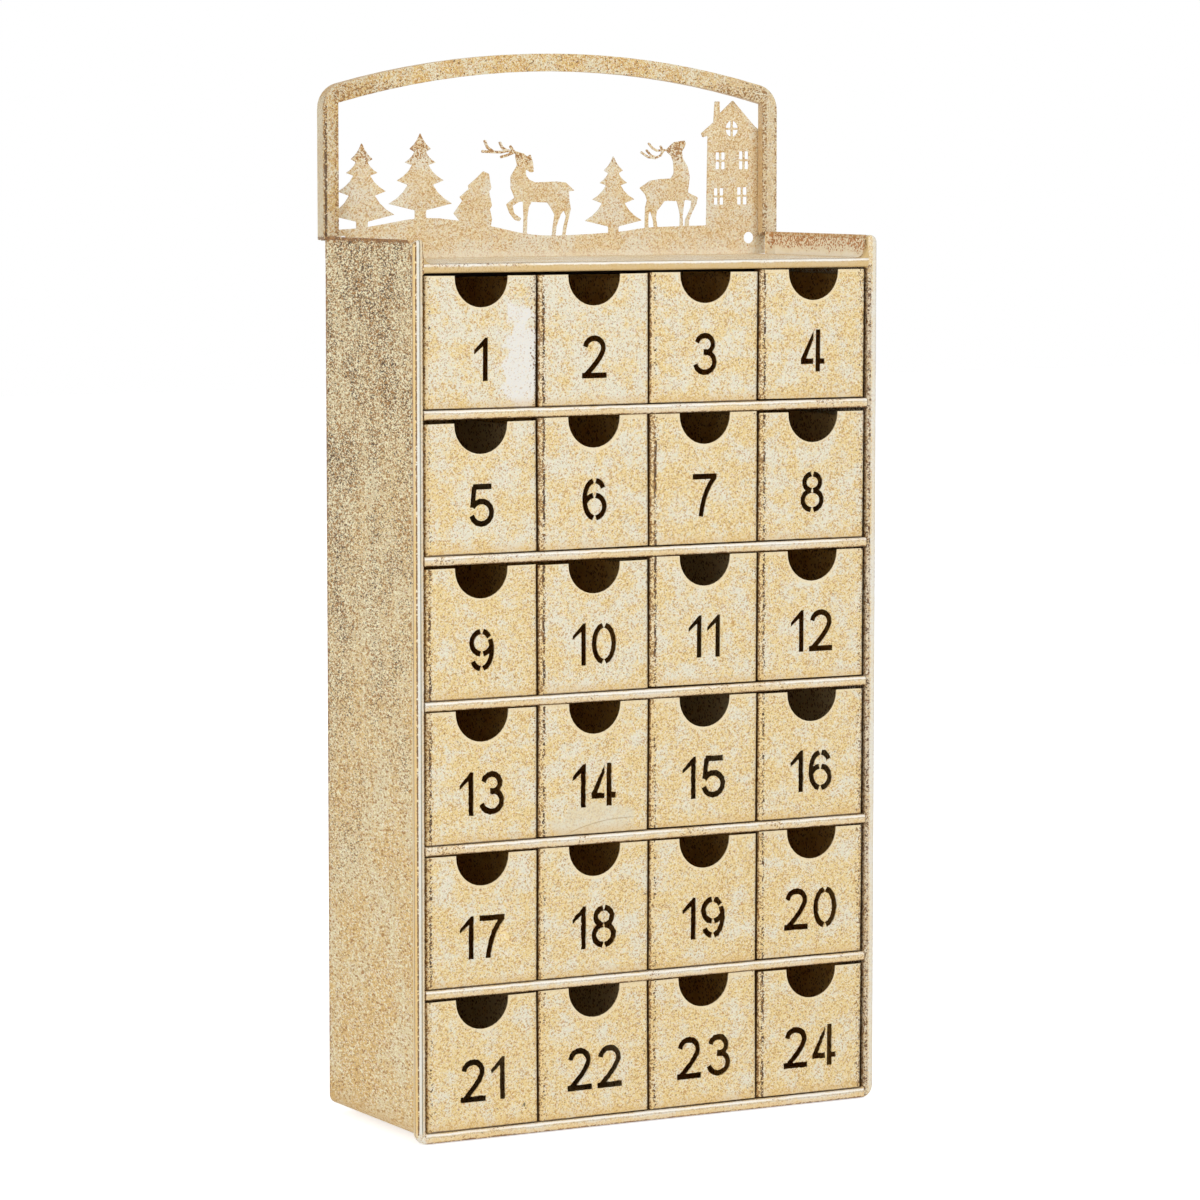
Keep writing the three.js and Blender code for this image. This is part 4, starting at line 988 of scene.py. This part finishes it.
def shapeNumeral(obj, number):
    # numerals cut a little wider, with uneven rims where the cutting was rough
    look = numeralCut["rough"] if number >= numeralCut["roughFrom"] else numeralCut["clean"]
    centreX, footZ = drawerSpot(number)
    topZ = footZ + cabinet["drawerHeight"]
    mesh = bmesh.new()
    mesh.from_mesh(obj.data)

    def inNumeral(vertex):
        drop = topZ - vertex.co.z / mm
        beside = abs(vertex.co.x / mm - centreX)
        return beside < numeralCut["halfWidth"] and numeralCut["top"] < drop < numeralCut["bottom"]

    def onLongRim(edge):
        first, last = edge.verts
        level = abs(first.co.y - last.co.y) < mergeDistance
        long = edge.calc_length() > numeralCut["longEdge"] * mm
        return inNumeral(first) and inNumeral(last) and level and long and edge.calc_face_angle(0.0) > 1.0

    rim = [edge for edge in mesh.edges if onLongRim(edge)]
    if look["uneven"]:
        for edge in rim:
            cuts = int(edge.calc_length() / (numeralCut["step"] * mm))
            bmesh.ops.subdivide_edges(mesh, edges=[edge], cuts=cuts)
    mesh.normal_update()
    moves = []
    for vertex in mesh.verts:
        if not inNumeral(vertex):
            continue
        spot = Vector((vertex.co.x, 0.0, vertex.co.z)) / (numeralCut["wave"] * mm)
        push = noise.noise_vector(spot) * look["uneven"]
        walls = [face.normal for face in vertex.link_faces if abs(face.normal.y) < 0.5]
        if walls:
            push -= sum(walls, Vector()).normalized() * look["wider"]
        moves.append((vertex, push))
    for vertex, push in moves:
        vertex.co.x += push.x * mm
        vertex.co.z += push.z * mm
    frontY = min(vertex.co.y for vertex in mesh.verts)
    refillFlat(mesh, -1, frontY)
    refillFlat(mesh, 1, frontY + numeralCut["sheet"] * mm)
    bmesh.ops.recalc_face_normals(mesh, faces=mesh.faces)
    bmesh.ops.dissolve_limit(mesh, angle_limit=flatAngle, verts=mesh.verts, edges=mesh.edges)
    mesh.to_mesh(obj.data)
    mesh.free()


frontMaterial = drawerPaint()
insideMaterial = drawerInsidePaint()
noise.seed_set(numeralCut["seed"])  # the same rims on each run
for number in range(1, cabinet["columns"] * cabinet["rows"] + 1):
    label = "%02d" % number
    body = "drawer_" + label
    front = cleanCopy("drawer_%s_front" % label, "drawerFront%s" % label)
    shapeNumeral(front, number)
    hangDrawer(front, number)
    softenEdges(front, edges["drawer"])
    markWear(front, number)
    finishPiece(front, "drawer_%s_front" % label, body, frontMaterial)
    tray = cleanCopy("drawer_%s_tray" % label, "drawerTray%s" % label)
    hangDrawer(tray, number)
    softenEdges(tray, edges["plain"])
    finishPiece(tray, "drawer_%s_tray" % label, body, insideMaterial)
print("drawers done")

# Studio: angles in degrees, lens in millimetres, the rest in metres
view = {
    "azimuth": -28.6, "elevation": 5.36, "distance": 2.2457, "target": (-0.0259, -0.04825, 0.2415),
    "lens": 148.76, "sensor": 36.0,
}
lamps = {
    "softKey": {"place": (0.9, -1.9, 1.7), "size": 1.1, "power": 16},
    "softFill": {"place": (-2.0, -1.2, 1.0), "size": 1.3, "power": 21},
}
lampTarget = Vector((0, 0, 0.24))
worldStrength = 0.5
floorLook = {"size": 12, "z": -0.0005, "tone": (0.86, 0.86, 0.86, 1), "roughness": 0.9, "glow": 0.66}


def placeCamera():
    azimuth = math.radians(view["azimuth"])
    elevation = math.radians(view["elevation"])
    level = math.cos(elevation)
    away = Vector((math.sin(azimuth) * level, -math.cos(azimuth) * level, math.sin(elevation)))
    data = bpy.data.cameras.new("photoCamera")
    data.sensor_width = view["sensor"]
    data.lens = view["lens"]
    camera = bpy.data.objects.new("photoCamera", data)
    scene.collection.objects.link(camera)
    camera.location = Vector(view["target"]) + away * view["distance"]
    camera.rotation_euler = (-away).to_track_quat("-Z", "Y").to_euler()
    bpy.context.scene.camera = camera


def whiteFor(tree):
    # 1 for camera, mirror and glass rays
    path = tree.nodes.new("ShaderNodeLightPath")
    seen = calc(tree, "MAXIMUM", path.outputs["Is Camera Ray"], path.outputs["Is Glossy Ray"])
    return calc(tree, "MAXIMUM", seen, path.outputs["Is Transmission Ray"])


def lightWorld():
    # a white background that lights the scene at its own strength
    world = bpy.data.worlds.new("paleStudio")
    scene.world = world
    world.use_nodes = True
    tree = world.node_tree
    background = tree.nodes["Background"]
    background.inputs["Color"].default_value = (1, 1, 1, 1)
    level = calc(tree, "ADD", times(tree, whiteFor(tree), 1.0 - worldStrength), worldStrength)
    tree.links.new(level, background.inputs["Strength"])


def addLamp(name, look):
    data = bpy.data.lights.new(name, "AREA")
    data.shape = "SQUARE"
    data.size = look["size"]
    data.energy = look["power"]
    lamp = bpy.data.objects.new(name, data)
    scene.collection.objects.link(lamp)
    lamp.location = look["place"]
    lamp.rotation_euler = (lampTarget - Vector(look["place"])).to_track_quat("-Z", "Y").to_euler()


def layFloor():
    # pale floor that glows a little, only where it is seen, and keeps the object's shadow
    bpy.ops.object.select_all(action="DESELECT")
    bpy.ops.mesh.primitive_plane_add(size=floorLook["size"], location=(0, 0, floorLook["z"]))
    floor = bpy.context.active_object
    floor.name = "studioFloor"
    material = bpy.data.materials.new("studioFloor")
    material.use_nodes = True
    tree = material.node_tree
    shader = tree.nodes["Principled BSDF"]
    shader.inputs["Base Color"].default_value = floorLook["tone"]
    shader.inputs["Roughness"].default_value = floorLook["roughness"]
    glow = tree.nodes.new("ShaderNodeEmission")
    plug(tree, glow.inputs["Strength"], times(tree, whiteFor(tree), floorLook["glow"]))
    add = tree.nodes.new("ShaderNodeAddShader")
    tree.links.new(shader.outputs["BSDF"], add.inputs[0])
    tree.links.new(glow.outputs["Emission"], add.inputs[1])
    tree.links.new(add.outputs["Shader"], tree.nodes["Material Output"].inputs["Surface"])
    floor.data.materials.append(material)


placeCamera()
lightWorld()
for name, look in lamps.items():
    addLamp(name, look)
layFloor()
scene.view_settings.view_transform = "Standard"
print("studio done")
